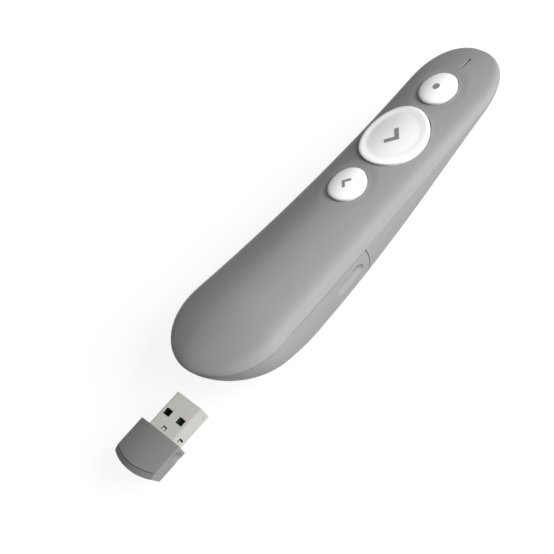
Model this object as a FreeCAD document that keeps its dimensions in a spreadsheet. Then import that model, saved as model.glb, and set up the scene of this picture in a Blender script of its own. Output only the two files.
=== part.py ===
import FreeCAD, Part
import Sketcher
import math
import os

# Pocket presentation clicker: a boat-shaped handset with three round keys on its
# crown, a laser in its nose, one cell under a battery door, and a plug-in radio
# receiver that docks in a slot in the door's tail.
# Millimetres. +Y runs forward to the nose, +X to the right, +Z up from the table.
# A station is a distance forward from the tail end. A level is a height over the
# middle of the seam between the upper and lower skins. The row's origin is the
# point of the belly that rests on the table.

Vector = FreeCAD.Vector
os.makedirs("parts", exist_ok=True)
doc = FreeCAD.newDocument("presentation_clicker")

# Driving dimensions: alias, value, what it sets.
SIZES = [
    ("body_length", 129.7, "tail end to nose tip"),
    ("end_cap", 0.05, "tiny flat left at the tail end and the nose tip"),
    ("rear_half_width", 19.69, "half width of the skin at the rear reference"),
    ("mid_half_width", 16.55, "half width of the skin at mid length"),
    ("front_half_width", 15.44, "half width of the skin at the front reference"),
    ("tail_round", 19.8, "length over which the tail rounds off in plan"),
    ("nose_round", 17.3, "length over which the nose rounds off in plan"),
    ("crown_rear", 6.17, "crown over the seam at the rear reference"),
    ("crown_mid", 6.38, "crown over the seam at mid length"),
    ("crown_front", 4.41, "crown over the seam at the front reference"),
    ("crown_tail_round", 24.8, "length over which the crown rises from the tail end"),
    ("crown_nose_round", 19.9, "length over which the crown falls to the nose"),
    ("belly_rear", 18.1, "belly under the seam at the rear reference"),
    ("belly_mid", 15.8, "belly under the seam at mid length"),
    ("belly_front", 6.6, "belly under the seam at the front reference"),
    ("belly_tail_round", 31.5, "length over which the belly drops from the tail end"),
    ("belly_nose_round", 16.9, "length over which the belly rises to the nose"),
    ("seam_fall", 2.68, "fall of the seam from tail to nose"),
    ("seam_bow", 13.7, "bow that lifts the seam at both ends"),
    ("wall", 1.6, "thickness of the skins"),
    ("rest_station", 44.5, "station of the point that rests on the table"),
    ("rest_land", 0.5, "depth of the small flat that rests on the table"),
    ("cut_over", 1.0, "overrun of cutting tools past the skin"),
    ("door_station", 58.1, "foremost point of the battery door"),
    ("door_edge_round", 20.0, "radius of the door's curved front edge"),
    ("door_edge_level", 0.9, "drop of the curved edge's centre below the seam middle"),
    ("door_gap", 0.25, "gap at the door's front edge"),
    ("parting_gap", 0.08, "gap between the door and the upper skin"),
    ("grip_setback", 8.8, "middle of the finger grips behind the door's foremost point"),
    ("grip_length", 11.5, "length of the finger grips"),
    ("grip_round", 2.6, "radius of the finger grips' hollow"),
    ("grip_depth", 0.55, "depth of the finger grips"),
    ("grip_drop", 4.3, "drop of the finger grips below the seam"),
    ("guide_width", 4.0, "length of a door guide rib along the body"),
    ("guide_thickness", 1.2, "thickness of a door guide rib"),
    ("guide_rise", 0.9, "rise of a door guide rib over the seam"),
    ("guide_inset", 1.2, "gap between a door guide rib and the side wall"),
    ("rear_guide_station", 26.5, "middle of the rear door guide ribs"),
    ("front_guide_station", 45.0, "middle of the front door guide ribs"),
    ("small_key_radius", 6.0, "radius of the back and laser keys"),
    ("next_key_radius", 11.0, "radius of the next key"),
    ("back_key_bridge", 3.3, "housing between the back and next keys"),
    ("next_key_setback", 38.8, "middle of the next key behind the nose tip"),
    ("laser_key_bridge", 2.9, "housing between the next and laser keys"),
    ("key_gap", 0.25, "gap round a key in its opening"),
    ("key_rise", 0.75, "rise of a key's face over the crown"),
    ("key_round", 0.6, "rounding of a key's rim"),
    ("key_face", 1.2, "thickness of a key's face"),
    ("key_skirt", 1.0, "thickness of a key's skirt"),
    ("key_flange", 0.7, "reach of the flange that keeps a key in"),
    ("key_flange_thickness", 0.6, "thickness of that flange"),
    ("flange_gap", 0.15, "gap between that flange and the skin over it"),
    ("key_travel", 0.35, "travel of a key"),
    ("stem_radius", 1.6, "radius of a key's stem"),
    ("dish_radius", 8.7, "radius of the dish in the next key"),
    ("dish_depth", 0.45, "depth of the dish in the next key"),
    ("symbol_depth", 0.3, "depth of the coloured symbols in the keys"),
    ("dot_radius", 1.15, "radius of the dot on the laser key"),
    ("next_arrow_span", 5.6, "span of the next key's arrow"),
    ("back_arrow_span", 3.1, "span of the back key's arrow"),
    ("next_arrow_stroke", 1.45, "stroke of the next key's arrow"),
    ("back_arrow_stroke", 0.95, "stroke of the back key's arrow"),
    ("mark_depth", 0.2, "depth of the beam mark by the nose"),
    ("mark_setback", 5.1, "middle of the beam mark's dot behind the nose tip"),
    ("mark_dot_radius", 0.5, "radius of the beam mark's dot"),
    ("mark_line_length", 3.4, "length of the beam mark's line"),
    ("mark_line_width", 0.35, "width of the beam mark's line"),
    ("board_level", 0.6, "level of the main board's upper face"),
    ("board_thickness", 1.0, "thickness of the main board"),
    ("board_half_width", 11.8, "half width of the main board"),
    ("board_margin", 3.6, "main board behind its rear screws"),
    ("board_front_setback", 17.2, "front edge of the main board behind the nose tip"),
    ("board_round", 5.0, "rounding of the main board's corners"),
    ("switch_side", 4.5, "side of a key switch"),
    ("switch_height", 1.5, "height of a key switch"),
    ("plunger_radius", 1.2, "radius of a switch plunger"),
    ("plunger_rise", 0.9, "rise of a plunger over its switch"),
    ("plunger_depth", 0.8, "depth of a plunger in its switch"),
    ("plunger_gap", 0.05, "running gap round a plunger"),
    ("plunger_rest_gap", 0.1, "gap under a plunger that is pressed home"),
    ("chip_side", 5.0, "side of the radio chip"),
    ("chip_thickness", 0.85, "thickness of the radio chip"),
    ("crystal_length", 3.2, "length of the crystal"),
    ("crystal_width", 2.5, "width of the crystal"),
    ("crystal_thickness", 0.7, "thickness of the crystal"),
    ("crystal_gap", 1.4, "gap between the chip and its neighbours"),
    ("capacitor_radius", 1.5, "radius of the buffer capacitor"),
    ("capacitor_height", 2.4, "height of the buffer capacitor"),
    ("boss_radius", 1.9, "radius of a screw boss"),
    ("door_boss_setback", 3.1, "screw bosses behind the door's foremost point"),
    ("door_boss_place", 12.0, "sideways place of the bosses by the door"),
    ("rear_boss_gap", 1.0, "rear screw bosses behind the back key's edge"),
    ("board_boss_place", 9.8, "sideways place of the board's bosses"),
    ("screw_radius", 0.7, "radius of a screw's shank"),
    ("screw_gap", 0.03, "gap round a screw's shank"),
    ("screw_head_radius", 1.5, "radius of a screw's head"),
    ("screw_head_height", 0.9, "height of a screw's head"),
    ("screw_grip", 2.2, "length of a screw in its boss"),
    ("screw_slot", 0.35, "width and depth of a screw's slot"),
    ("ear_thickness", 1.2, "thickness of the ears that screws clamp"),
    ("ear_half_width", 2.4, "half width of an ear"),
    ("bulkhead_thickness", 1.0, "thickness of the lower housing's bulkhead"),
    ("bulkhead_depth", 5.5, "depth of the bulkhead's side lugs"),
    ("cell_radius", 5.25, "radius of the cell"),
    ("cell_length", 43.3, "length of the cell without its button"),
    ("cell_button_radius", 1.9, "radius of the cell's button"),
    ("cell_button_height", 1.2, "height of the cell's button"),
    ("jacket_thickness", 0.15, "thickness of the cell's printed jacket"),
    ("jacket_end", 0.4, "bare length of the can at each end of the jacket"),
    ("cell_gap", 0.25, "gap between the cell and its cradle"),
    ("cradle_wall", 0.8, "wall of the battery cradle"),
    ("cradle_roof", 0.6, "thinnest roof of the battery cradle over the cell"),
    ("cradle_depth", 8.4, "depth of the battery cradle's sides"),
    ("spring_length", 2.6, "squeezed length of the contact spring"),
    ("spring_radius", 2.8, "coil radius of the contact spring"),
    ("spring_wire", 0.25, "wire radius of the contact spring"),
    ("contact_thickness", 0.3, "thickness of the battery contacts"),
    ("contact_width", 7.0, "width of the battery contacts"),
    ("contact_height", 7.6, "height of the battery contacts"),
    ("laser_level", 0.5, "level of the laser's axis"),
    ("laser_setback", 15.9, "rear of the laser module behind the nose tip"),
    ("laser_length", 4.4, "length of the laser module"),
    ("laser_radius", 1.3, "radius of the laser module"),
    ("laser_bore", 0.8, "radius of the laser module's bore"),
    ("lens_thickness", 1.0, "thickness of the laser's lens"),
    ("window_radius", 0.9, "radius of the laser window"),
    ("window_setback", 7.7, "rear of the laser window behind the nose tip"),
    ("laser_board_side", 2.6, "side of the laser's small board"),
    ("laser_board_thickness", 0.6, "thickness of the laser's small board"),
    ("rib_thickness", 1.0, "thickness of the ribs under the laser module"),
    ("receiver_half_width", 9.2, "half width of the receiver"),
    ("receiver_top", 3.3, "crown of the receiver over the plug's middle"),
    ("receiver_shoulder", 2.5, "shoulder of the receiver over the plug's middle"),
    ("receiver_chine", 1.2, "lower side edge under the plug's middle"),
    ("receiver_keel", 3.4, "keel of the receiver under the plug's middle"),
    ("receiver_length", 13.8, "length of the receiver's body at its middle"),
    ("receiver_side_length", 11.9, "length of the receiver's body at its sides"),
    ("receiver_undercut", 2.2, "how far the end of the receiver leans in below"),
    ("receiver_band", 1.7, "length of the sloping band at the receiver's end"),
    ("receiver_band_drop", 0.7, "drop of that band"),
    ("receiver_wall", 1.1, "wall of the receiver's body"),
    ("receiver_dimple", 2.6, "radius of the grip dimples in its sides"),
    ("receiver_dimple_depth", 0.7, "depth of those dimples"),
    ("receiver_level", 7.6, "drop of the plug's middle below the seam middle"),
    ("receiver_out", 17.0, "gap from the body's tail end back to the receiver's face"),
    ("dock_station", 6.2, "station of the receiver's end when it is docked"),
    ("dock_gap", 0.2, "gap round the docked receiver"),
    ("dock_wall", 1.0, "wall of the dock"),
    ("plug_width", 12.0, "width of the plug's shell"),
    ("plug_height", 4.5, "height of the plug's shell"),
    ("plug_length", 12.15, "length of the plug outside the receiver's body"),
    ("plug_root", 4.0, "length of the plug's shell inside the body"),
    ("plug_wall", 0.3, "wall of the plug's shell"),
    ("plug_corner", 0.5, "outer corner radius of the plug's shell"),
    ("window_side", 2.5, "width of a window in the plug's shell"),
    ("window_length", 1.95, "length of a window in the plug's shell"),
    ("window_place", 3.1, "sideways place of a window"),
    ("window_from_face", 5.7, "middle of a window from the body's face"),
    ("tongue_thickness", 0.8, "thickness of the plug's plastic tongue"),
    ("tongue_setback", 0.4, "setback of the tongue from the plug's mouth"),
    ("stick_board_thickness", 0.8, "thickness of the receiver's board"),
    ("stick_board_width", 10.6, "width of the receiver's board"),
    ("stick_board_root", 9.5, "length of the receiver's board inside the body"),
    ("finger_width", 1.0, "width of an outer contact finger"),
    ("finger_pitch", 2.25, "spacing of the contact fingers"),
    ("finger_length", 7.4, "length of the contact fingers"),
    ("finger_thickness", 0.12, "thickness of the contact fingers"),
    ("stick_chip_side", 4.0, "side of the receiver's chip"),
    ("stick_chip_thickness", 0.8, "thickness of the receiver's chip"),
]

sheet = doc.addObject("Spreadsheet::Sheet", "Sizes")
for row, (alias, value, meaning) in enumerate(SIZES, 1):
    sheet.set(f"A{row}", meaning)
    sheet.set(f"B{row}", str(value))
    sheet.setAlias(f"B{row}", alias)
doc.recompute()


def v(alias):
    return float(sheet.get(alias))


# Stations that follow from the sizes.
next_key_station = v("body_length") - v("next_key_setback")
back_key_station = next_key_station - v("next_key_radius") - v("small_key_radius") - v("back_key_bridge")
laser_key_station = next_key_station + v("next_key_radius") + v("small_key_radius") + v("laser_key_bridge")
mark_station = v("body_length") - v("mark_setback")
laser_rear_station = v("body_length") - v("laser_setback")
window_rear_station = v("body_length") - v("window_setback")
board_front_station = v("body_length") - v("board_front_setback")
rear_boss_station = back_key_station - v("small_key_radius") - v("rear_boss_gap")
mid_boss_station = (back_key_station + v("small_key_radius") + next_key_station - v("next_key_radius")) / 2
front_boss_station = (next_key_station + v("next_key_radius") + laser_key_station - v("small_key_radius")) / 2
board_rear_station = rear_boss_station - v("board_margin")
door_boss_station = v("door_station") - v("door_boss_setback")
grip_station = v("door_station") - v("grip_setback")

# Ratios and counts that shape the skins. None of them is a length.
reference_share = 0.35
tail_plan_power = 1.85
nose_plan_power = 2.17
depth_power = 1.6
belly_power_rear = 2.24
belly_power_nose = 1.82
crown_fall_rear_share = 0.573
crown_fall_nose_share = 0.541
shoulder_share = 0.918
shoulder_reach_share = 0.13
shoulder_side_share = 0.55
station_count = 28
patch_count = 9
crown_points = 4
corner_points = 4
belly_points = 16
spring_turns = 3


def row_point(x, station, level):
    return Vector(x, station - v("rest_station"), level - floor_level)


def through_three(share, rear, mid, front):
    """Smooth rule through a size at the rear, middle and front references."""
    step = (share - 0.5) / reference_share
    return mid + (front - rear) / 2 * step + ((rear + front) / 2 - mid) * step ** 2


def rounded_share(distance, length, power):
    """1 away from an end, falling to 0 at the end along a round of this length."""
    if distance >= length:
        return 1.0
    return (1 - (1 - max(distance, 0.0) / length) ** power) ** (1 / power)


def seam_level(station):
    share = station / v("body_length") - 0.5
    return v("seam_bow") * share ** 2 - v("seam_fall") * share


def skin_sizes(station, inset):
    """Half width, crown and belly of the skin at a station, set in by inset."""
    share = station / v("body_length")
    from_tail = station - inset
    from_nose = v("body_length") - inset - station
    half_width = through_three(share, v("rear_half_width"), v("mid_half_width"), v("front_half_width"))
    half_width = (half_width - inset) * rounded_share(from_tail, v("tail_round"), tail_plan_power)
    half_width *= rounded_share(from_nose, v("nose_round"), nose_plan_power)
    crown = through_three(share, v("crown_rear"), v("crown_mid"), v("crown_front"))
    crown = (crown - inset) * rounded_share(from_tail, v("crown_tail_round"), depth_power)
    crown *= rounded_share(from_nose, v("crown_nose_round"), depth_power)
    belly = through_three(share, v("belly_rear"), v("belly_mid"), v("belly_front"))
    belly = (belly - inset) * rounded_share(from_tail, v("belly_tail_round"), depth_power)
    belly *= rounded_share(from_nose, v("belly_nose_round"), depth_power)
    return half_width, crown, belly


def crown_fall_share(station):
    share = station / v("body_length")
    return crown_fall_rear_share + (crown_fall_nose_share - crown_fall_rear_share) * share


def crown_level(x, station, inset):
    """Level of the crown over x, where x lies inside the shoulders."""
    half_width, crown, belly = skin_sizes(station, inset)
    fall = crown_fall_share(station) * (x / half_width) ** 2
    return seam_level(station) + crown * (1 - fall)


def belly_level(station, inset):
    return seam_level(station) - skin_sizes(station, inset)[2]


floor_level = belly_level(v("rest_station"), 0) + v("rest_land")


def crown_outline(station, inset):
    """Points over the crown from the right seam to the left seam."""
    half_width, crown, belly = skin_sizes(station, inset)
    fall = crown_fall_share(station)
    corner = Vector(shoulder_share, 1 - fall * shoulder_share ** 2, 0)
    reach = shoulder_share - shoulder_reach_share
    upper = Vector(reach, 1 - fall * reach ** 2, 0)
    lower = corner + (Vector(1, 0, 0) - corner) * shoulder_side_share
    half = [Vector(1, 0, 0), (Vector(1, 0, 0) + lower) / 2]
    for number in range(corner_points + 1):
        bend = number / corner_points
        half.append(lower * (1 - bend) ** 2 + corner * 2 * bend * (1 - bend) + upper * bend ** 2)
    for number in range(1, crown_points):
        x = reach * (1 - number / crown_points)
        half.append(Vector(x, 1 - fall * x ** 2, 0))
    shares = half + [Vector(0, 1, 0)] + [Vector(-share.x, share.y, 0) for share in reversed(half)]
    level = seam_level(station)
    return [row_point(share.x * half_width, station, level + share.y * crown) for share in shares]


def belly_outline(station, inset):
    """Points under the belly from the right seam to the left seam."""
    half_width, crown, belly = skin_sizes(station, inset)
    power = belly_power_rear + (belly_power_nose - belly_power_rear) * station / v("body_length")
    level = seam_level(station)
    points = []
    for number in range(belly_points + 1):
        turn = math.pi * number / belly_points
        across = math.copysign(abs(math.cos(turn)) ** (2 / power), math.cos(turn))
        down = abs(math.sin(turn)) ** (2 / power)
        points.append(row_point(across * half_width, station, level - down * belly))
    return points


def skin_sections(outline, inset, stations=None):
    """Curves across one skin at a row of stations, closer together at both ends.
    All sections share one spacing of their points, so their surface stays light."""
    if stations is None:
        first = inset + v("end_cap")
        last = v("body_length") - inset - v("end_cap")
        turns = [math.pi * number / station_count for number in range(station_count + 1)]
        stations = [first + (last - first) * (1 - math.cos(turn)) / 2 for turn in turns]
    spread = [0]
    middle = outline(v("body_length") / 2, inset)
    for near, far in zip(middle, middle[1:]):
        spread.append(spread[-1] + near.distanceToPoint(far))
    curves = []
    for station in stations:
        curve = Part.BSplineCurve()
        curve.interpolate(Points=outline(station, inset), Parameters=spread)
        curves.append(curve.toShape())
    return curves


def skin_core(outline, inset, over, stations=None):
    """Solid inside one skin, closed along the seam and pushed past it by over."""
    past = Vector(0, 0, -over if outline is crown_outline else over)
    wires = []
    for curve in skin_sections(outline, inset, stations):
        right, left = curve.Vertexes[0].Point, curve.Vertexes[-1].Point
        if over:
            closing = Part.makePolygon([left, left + past, right + past, right]).Edges
        else:
            closing = [Part.makeLine(left, right)]
        wires.append(Part.Wire([curve] + closing))
    return Part.makeLoft(wires, True, False)


def hollow_skin(outline):
    """Skin of even wall with a flat rim along the seam, sewn from its faces."""
    layers = []
    faces = []
    for inset in (0, v("wall")):
        curves = skin_sections(outline, inset)
        surface = Part.makeLoft([Part.Wire(curve) for curve in curves], False, False).Faces[0]
        ends = []
        for curve in (curves[0], curves[-1]):
            line = Part.makeLine(curve.Vertexes[-1].Point, curve.Vertexes[0].Point)
            faces.append(Part.Face(Part.Wire([curve, line])))
            ends.append(line)
        faces.append(surface)
        sides = [edge for edge in surface.Edges if edge.BoundBox.YLength > v("body_length") / 2]
        sides.sort(key=lambda edge: edge.CenterOfMass.x)
        layers.append(sides + ends)
    for outer_edge, inner_edge in zip(*layers):
        faces.append(Part.makeRuledSurface(outer_edge, inner_edge))
    shell = Part.Shell(faces)
    shell.sewShape()
    skin = Part.Solid(shell)
    if skin.Volume < 0:
        skin.reverse()
    return skin


def key_layer(inset):
    """Crown solid over the keys alone, set in by inset and closed below the seam."""
    first = board_rear_station
    last = laser_key_station + v("small_key_radius") + v("key_flange") + v("cut_over")
    stations = [first + (last - first) * number / patch_count for number in range(patch_count + 1)]
    return skin_core(crown_outline, inset, v("cut_over"), stations)


def seam_slab(low, high):
    """Slab across the body between two curved levels that follow the seam."""
    reach = v("rear_half_width") + v("cut_over")
    stations = [v("body_length") * number / station_count for number in range(-1, station_count + 2)]
    edges = []
    for offset in (low, high):
        curve = Part.BSplineCurve()
        curve.interpolate([row_point(-reach, station, seam_level(station) + offset) for station in stations])
        edges.append(curve.toShape())
    face = Part.makeRuledSurface(edges[0], edges[1])
    return face.extrude(Vector(2 * reach, 0, 0))


# Small builders for document objects.
def solid(name, shape):
    feature = doc.addObject("Part::Feature", name)
    feature.Shape = shape
    return feature


def bind(thing, **sizes):
    """Binds sizes to the sheet, or sets those that were worked out from it."""
    for name, size in sizes.items():
        if isinstance(size, str):
            thing.setExpression(name, size)
        else:
            setattr(thing, name, size)


def box(name, width, length, height, middle, base_level):
    """Box bound to the sheet, centred on a point in plan and standing on a level."""
    thing = doc.addObject("Part::Box", name)
    bind(thing, Length=width, Width=length, Height=height)
    doc.recompute()
    corner = Vector(middle.x - thing.Length.Value / 2, middle.y - thing.Width.Value / 2, base_level)
    thing.Placement.Base = corner
    return thing


def post(name, radius, height, foot):
    """Upright cylinder bound to the sheet, standing on a point."""
    thing = doc.addObject("Part::Cylinder", name)
    bind(thing, Radius=radius, Height=height)
    thing.Placement.Base = foot
    return thing


def rod(name, radius, length, rear):
    """Cylinder bound to the sheet that runs forward from a point."""
    thing = post(name, radius, length, rear)
    thing.Placement.Rotation = FreeCAD.Rotation(Vector(1, 0, 0), -90)
    return thing


def cut(name, base, tool):
    thing = doc.addObject("Part::Cut", name)
    thing.Base = base
    thing.Tool = tool
    return thing


def fuse(name, things):
    thing = doc.addObject("Part::MultiFuse", name)
    thing.Shapes = things
    thing.Refine = False
    return thing


def compound(name, things):
    thing = doc.addObject("Part::Compound", name)
    thing.Links = things
    return thing


def common(name, things):
    thing = doc.addObject("Part::MultiCommon", name)
    thing.Shapes = things
    return thing


nodes = []


def node(thing, label):
    thing.Label = label
    nodes.append(thing)
    return thing


def height_of(level):
    return level - floor_level


# Keys: name, station, radius.
KEYS = [
    ("back", back_key_station, "small_key_radius"),
    ("next", next_key_station, "next_key_radius"),
    ("laser", laser_key_station, "small_key_radius"),
]

# Levels that the board sets for what is stacked on it.
board_underside = v("board_level") - v("board_thickness")
ear_underside = board_underside - v("ear_thickness")
switch_top = v("board_level") + v("switch_height")
plunger_top = switch_top + v("plunger_rise")

# Screws: name, sideways place, station, level of the boss's end, level its head seats on.
SCREWS = []
for side, sign in (("right", 1), ("left", -1)):
    door_place = sign * v("door_boss_place")
    board_place = sign * v("board_boss_place")
    SCREWS += [
        (f"door_screw_{side}", door_place, door_boss_station, board_underside, ear_underside),
        (f"rear_screw_{side}", board_place, rear_boss_station, v("board_level"), ear_underside),
        (f"mid_screw_{side}", board_place, mid_boss_station, v("board_level"), ear_underside),
        (f"front_screw_{side}", board_place, front_boss_station, v("board_level"), board_underside),
    ]

# Chain of stations from the docked receiver forward to the front of the cradle.
docked_face = v("dock_station") + v("receiver_length")
cradle_rear = docked_face + v("plug_length") + v("cell_gap")
spring_rear = cradle_rear + v("cradle_wall") + v("contact_thickness")
cell_rear = spring_rear + v("spring_length")
button_rear = cell_rear + v("cell_length")
button_front = button_rear + v("cell_button_height")
cradle_front = max(button_front + v("contact_thickness") + v("cradle_wall"),
                   mid_boss_station + v("ear_half_width"))
cell_level = board_underside - v("cradle_roof") - v("cell_gap") - v("cell_radius")
tall = "Sizes.crown_rear + Sizes.seam_bow"

# The skins, the cores that trim what stands in them to half the wall, and the
# layers that the keys' faces follow.
crown_skin = solid("crown_skin", hollow_skin(crown_outline))
belly_skin = solid("belly_skin", hollow_skin(belly_outline))
root_crown = solid("root_crown", skin_core(crown_outline, v("wall") / 2, v("cut_over")))
root_belly = solid("root_belly", skin_core(belly_outline, v("wall") / 2, v("cut_over")))
key_crown = solid("key_crown", key_layer(-v("key_rise")))
dish_crown = solid("dish_crown", key_layer(v("dish_depth") - v("key_rise")))
symbol_crown = solid("symbol_crown", key_layer(v("symbol_depth") - v("key_rise")))
dish_symbol_inset = v("dish_depth") + v("symbol_depth") - v("key_rise")
dish_symbol_crown = solid("dish_symbol_crown", key_layer(dish_symbol_inset))

# Upper housing: the crown's skin with three key openings, eight screw bosses and the
# pocket of the beam mark.
bosses = []
bores = []
for name, x, station, boss_end, seat in SCREWS:
    bosses.append(post(f"{name}_boss", "Sizes.boss_radius", tall, row_point(x, station, boss_end)))
    bores.append(post(f"{name}_bore", "Sizes.screw_radius + Sizes.screw_gap",
                      "Sizes.screw_grip + Sizes.screw_gap", row_point(x, station, boss_end)))
key_openings = []
for name, station, radius in KEYS:
    foot = row_point(0, station, v("board_level"))
    key_openings.append(post(f"{name}_opening", f"Sizes.{radius} + Sizes.key_gap", tall, foot))
crown_bosses = common("crown_bosses", [compound("boss_posts", bosses), root_crown])

mark_foot = row_point(0, mark_station, v("board_level"))
mark_dot = post("mark_dot", "Sizes.mark_dot_radius", tall, mark_foot)
mark_line = box("mark_line", "Sizes.mark_line_width", "Sizes.mark_line_length", tall,
                mark_foot - Vector(0, v("mark_line_length") / 2, 0), mark_foot.z)
mark_prism = fuse("mark_prism", [mark_dot, mark_line])
nose_stations = [mark_station + v("mark_line_length") * (number / patch_count * 2 - 1)
                 for number in range(patch_count + 1)]
mark_crown = solid("mark_crown", skin_core(crown_outline, v("mark_depth"), v("cut_over"), nose_stations))
mark_pocket = cut("mark_pocket", mark_prism, mark_crown)
node(common("beam_mark_solid", [crown_skin, mark_pocket]), "beam_mark")
housing_blank = fuse("upper_housing_blank", [crown_skin, crown_bosses])
housing_cuts = compound("housing_cuts", [mark_pocket] + key_openings + bores)
node(cut("upper_housing_solid", housing_blank, housing_cuts), "upper_housing")

# What stands in the lower skin: the receiver's dock and the guide ribs in the
# door, the bulkhead lugs and the ribs under the laser module in the front.
dock_block = box("dock_block", "2 * (Sizes.receiver_half_width + Sizes.dock_gap + Sizes.dock_wall)",
                 "Sizes.dock_station + Sizes.receiver_length",
                 "Sizes.receiver_top + Sizes.receiver_keel + 2 * (Sizes.dock_gap + Sizes.dock_wall)",
                 row_point(0, docked_face / 2, 0),
                 height_of(-v("receiver_level") - v("receiver_keel") - v("dock_gap") - v("dock_wall")))
guides = []
for place, station in (("rear", v("rear_guide_station")), ("front", v("front_guide_station"))):
    guide_face = skin_sizes(station, v("wall"))[0] - v("guide_inset")
    for side, sign in (("right", 1), ("left", -1)):
        x = sign * (guide_face - v("guide_thickness") / 2)
        guides.append(box(f"{place}_guide_{side}", "Sizes.guide_thickness", "Sizes.guide_width",
                          "Sizes.belly_rear", row_point(x, station, 0),
                          height_of(seam_level(station) + v("guide_rise") - v("belly_rear"))))
lug_station = v("door_station") + v("door_gap") + v("bulkhead_thickness") / 2
lugs = []
ears = []
for side, sign in (("right", 1), ("left", -1)):
    x = sign * (v("door_boss_place") + v("ear_half_width"))
    lugs.append(box(f"lug_{side}", "4 * Sizes.ear_half_width", "Sizes.bulkhead_thickness",
                    "Sizes.bulkhead_depth", row_point(x, lug_station, 0),
                    height_of(board_underside - v("bulkhead_depth"))))
    ear_rear = door_boss_station - v("ear_half_width")
    ear_front = lug_station + v("bulkhead_thickness") / 2
    ears.append(box(f"ear_{side}", "2 * Sizes.ear_half_width",
                    "Sizes.door_boss_setback + Sizes.door_gap + Sizes.bulkhead_thickness"
                    " + Sizes.ear_half_width",
                    "Sizes.ear_thickness",
                    row_point(sign * v("door_boss_place"), (ear_rear + ear_front) / 2, 0),
                    height_of(ear_underside)))
laser_ribs = []
for number in (0, 1):
    station = laser_rear_station + v("rib_thickness") + number * v("laser_length") / 2
    laser_ribs.append(box(f"laser_rib_{number + 1}", "4 * Sizes.laser_radius", "Sizes.rib_thickness",
                          "Sizes.belly_front", row_point(0, station, 0),
                          height_of(v("laser_level") - v("belly_front"))))


# Door region: everything behind a curved edge, which is a cylinder across the body.
def door_region(name, shrink):
    reach = "2 * (Sizes.rear_half_width + Sizes.cut_over)"
    across = post(f"{name}_edge", f"Sizes.door_edge_round - {shrink}", reach,
                  row_point(-v("rear_half_width") - v("cut_over"), v("door_station") - v("door_edge_round"),
                            -v("door_edge_level")))
    across.Placement.Rotation = FreeCAD.Rotation(Vector(0, 1, 0), 90)
    length = "Sizes.door_station - Sizes.door_edge_round + Sizes.receiver_out"
    middle = (v("door_station") - v("door_edge_round") - v("receiver_out")) / 2
    behind = box(f"{name}_behind", reach, length, "4 * Sizes.belly_rear", row_point(0, middle, 0),
                 -2 * v("belly_rear"))
    return fuse(name, [across, behind])


# Front lower housing: the skin ahead of the door, with two ears for the door screws.
# The table trims it, and the door, to the small flat on which both rest.
table = box("table", "2 * Sizes.rear_half_width", "Sizes.body_length", "Sizes.belly_rear", Vector(0, 0, 0),
            -v("belly_rear"))
front_skin = cut("front_skin", belly_skin, door_region("ahead_of_door", "0 * Sizes.door_gap"))
front_ribs = common("front_ribs", [fuse("front_blocks", lugs + ears + laser_ribs), root_belly])
front_blank = fuse("front_lower_blank", [front_skin, front_ribs])
ear_holes = []
for name, x, station, boss_end, seat in SCREWS:
    if name.startswith("door"):
        ear_holes.append(post(f"{name}_ear_hole", "Sizes.screw_radius + Sizes.screw_gap",
                              "Sizes.ear_thickness", row_point(x, station, seat)))
laser_seat = rod("laser_seat", "Sizes.laser_radius", "Sizes.laser_length",
                 row_point(0, laser_rear_station, v("laser_level")))
window_rod = rod("window_rod", "Sizes.window_radius", "Sizes.nose_round",
                 row_point(0, window_rear_station, v("laser_level")))
front_cuts = compound("front_cuts", [table, laser_seat, window_rod] + ear_holes)
node(cut("front_lower_solid", front_blank, front_cuts), "front_lower_housing")
node(common("laser_window_solid", [window_rod, root_belly]), "laser_window")


# Section of the receiver, also grown by a gap to make the dock's slot.
def receiver_section(grow, rear, front, level):
    half_width = v("receiver_half_width") + grow
    top = Vector(0, rear, level + v("receiver_top") + grow)
    right_top = Vector(half_width, rear, level + v("receiver_shoulder") + grow)
    right_low = Vector(half_width, rear, level - v("receiver_chine") - grow)
    keel = Vector(0, rear, level - v("receiver_keel") - grow)
    left_low = Vector(-half_width, rear, right_low.z)
    left_top = Vector(-half_width, rear, right_top.z)
    edges = [
        Part.Arc(left_top, top, right_top).toShape(),
        Part.makeLine(right_top, right_low),
        Part.Arc(right_low, keel, left_low).toShape(),
        Part.makeLine(left_low, left_top),
    ]
    return Part.Face(Part.Wire(edges)).extrude(Vector(0, front - rear, 0))


# Battery door: the tail of the lower skin with finger grips, guide ribs, the
# dock for the receiver and the small flat that it rests on.
plug_height_z = height_of(-v("receiver_level"))
slot = solid("dock_slot", receiver_section(v("dock_gap"), row_point(0, -v("receiver_out"), 0).y,
                                           row_point(0, docked_face + v("cut_over"), 0).y, plug_height_z))
grips = []
for side, sign in (("right", 1), ("left", -1)):
    half_width = skin_sizes(grip_station, 0)[0]
    x = sign * (half_width + v("grip_round") - v("grip_depth"))
    level = seam_level(grip_station) - v("grip_drop")
    rear = grip_station - v("grip_length") / 2 + v("grip_round")
    grips.append(rod(f"grip_{side}", "Sizes.grip_round", "Sizes.grip_length - 2 * Sizes.grip_round",
                     row_point(x, rear, level)))
    for end, station in (("rear", rear), ("front", rear + v("grip_length") - 2 * v("grip_round"))):
        ball = doc.addObject("Part::Sphere", f"grip_{end}_{side}")
        bind(ball, Radius="Sizes.grip_round")
        ball.Placement.Base = row_point(x, station, level)
        grips.append(ball)
grip_tools = fuse("grip_tools", grips)
above_door = solid("above_door", seam_slab(-v("parting_gap"), v("crown_rear")))
door_skin = common("door_skin", [belly_skin, door_region("behind_door_edge", "Sizes.door_gap")])
dock_walls = common("dock_walls", [dock_block, root_belly])
door_cuts = compound("door_cuts", [above_door, table, slot, grip_tools])
door_cut = cut("door_cut", fuse("door_blank", [door_skin, dock_walls]), door_cuts)
guide_ribs = common("guide_ribs", [compound("guide_boxes", guides), root_belly])
node(fuse("battery_door_solid", [door_cut, guide_ribs]), "battery_door")

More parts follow.
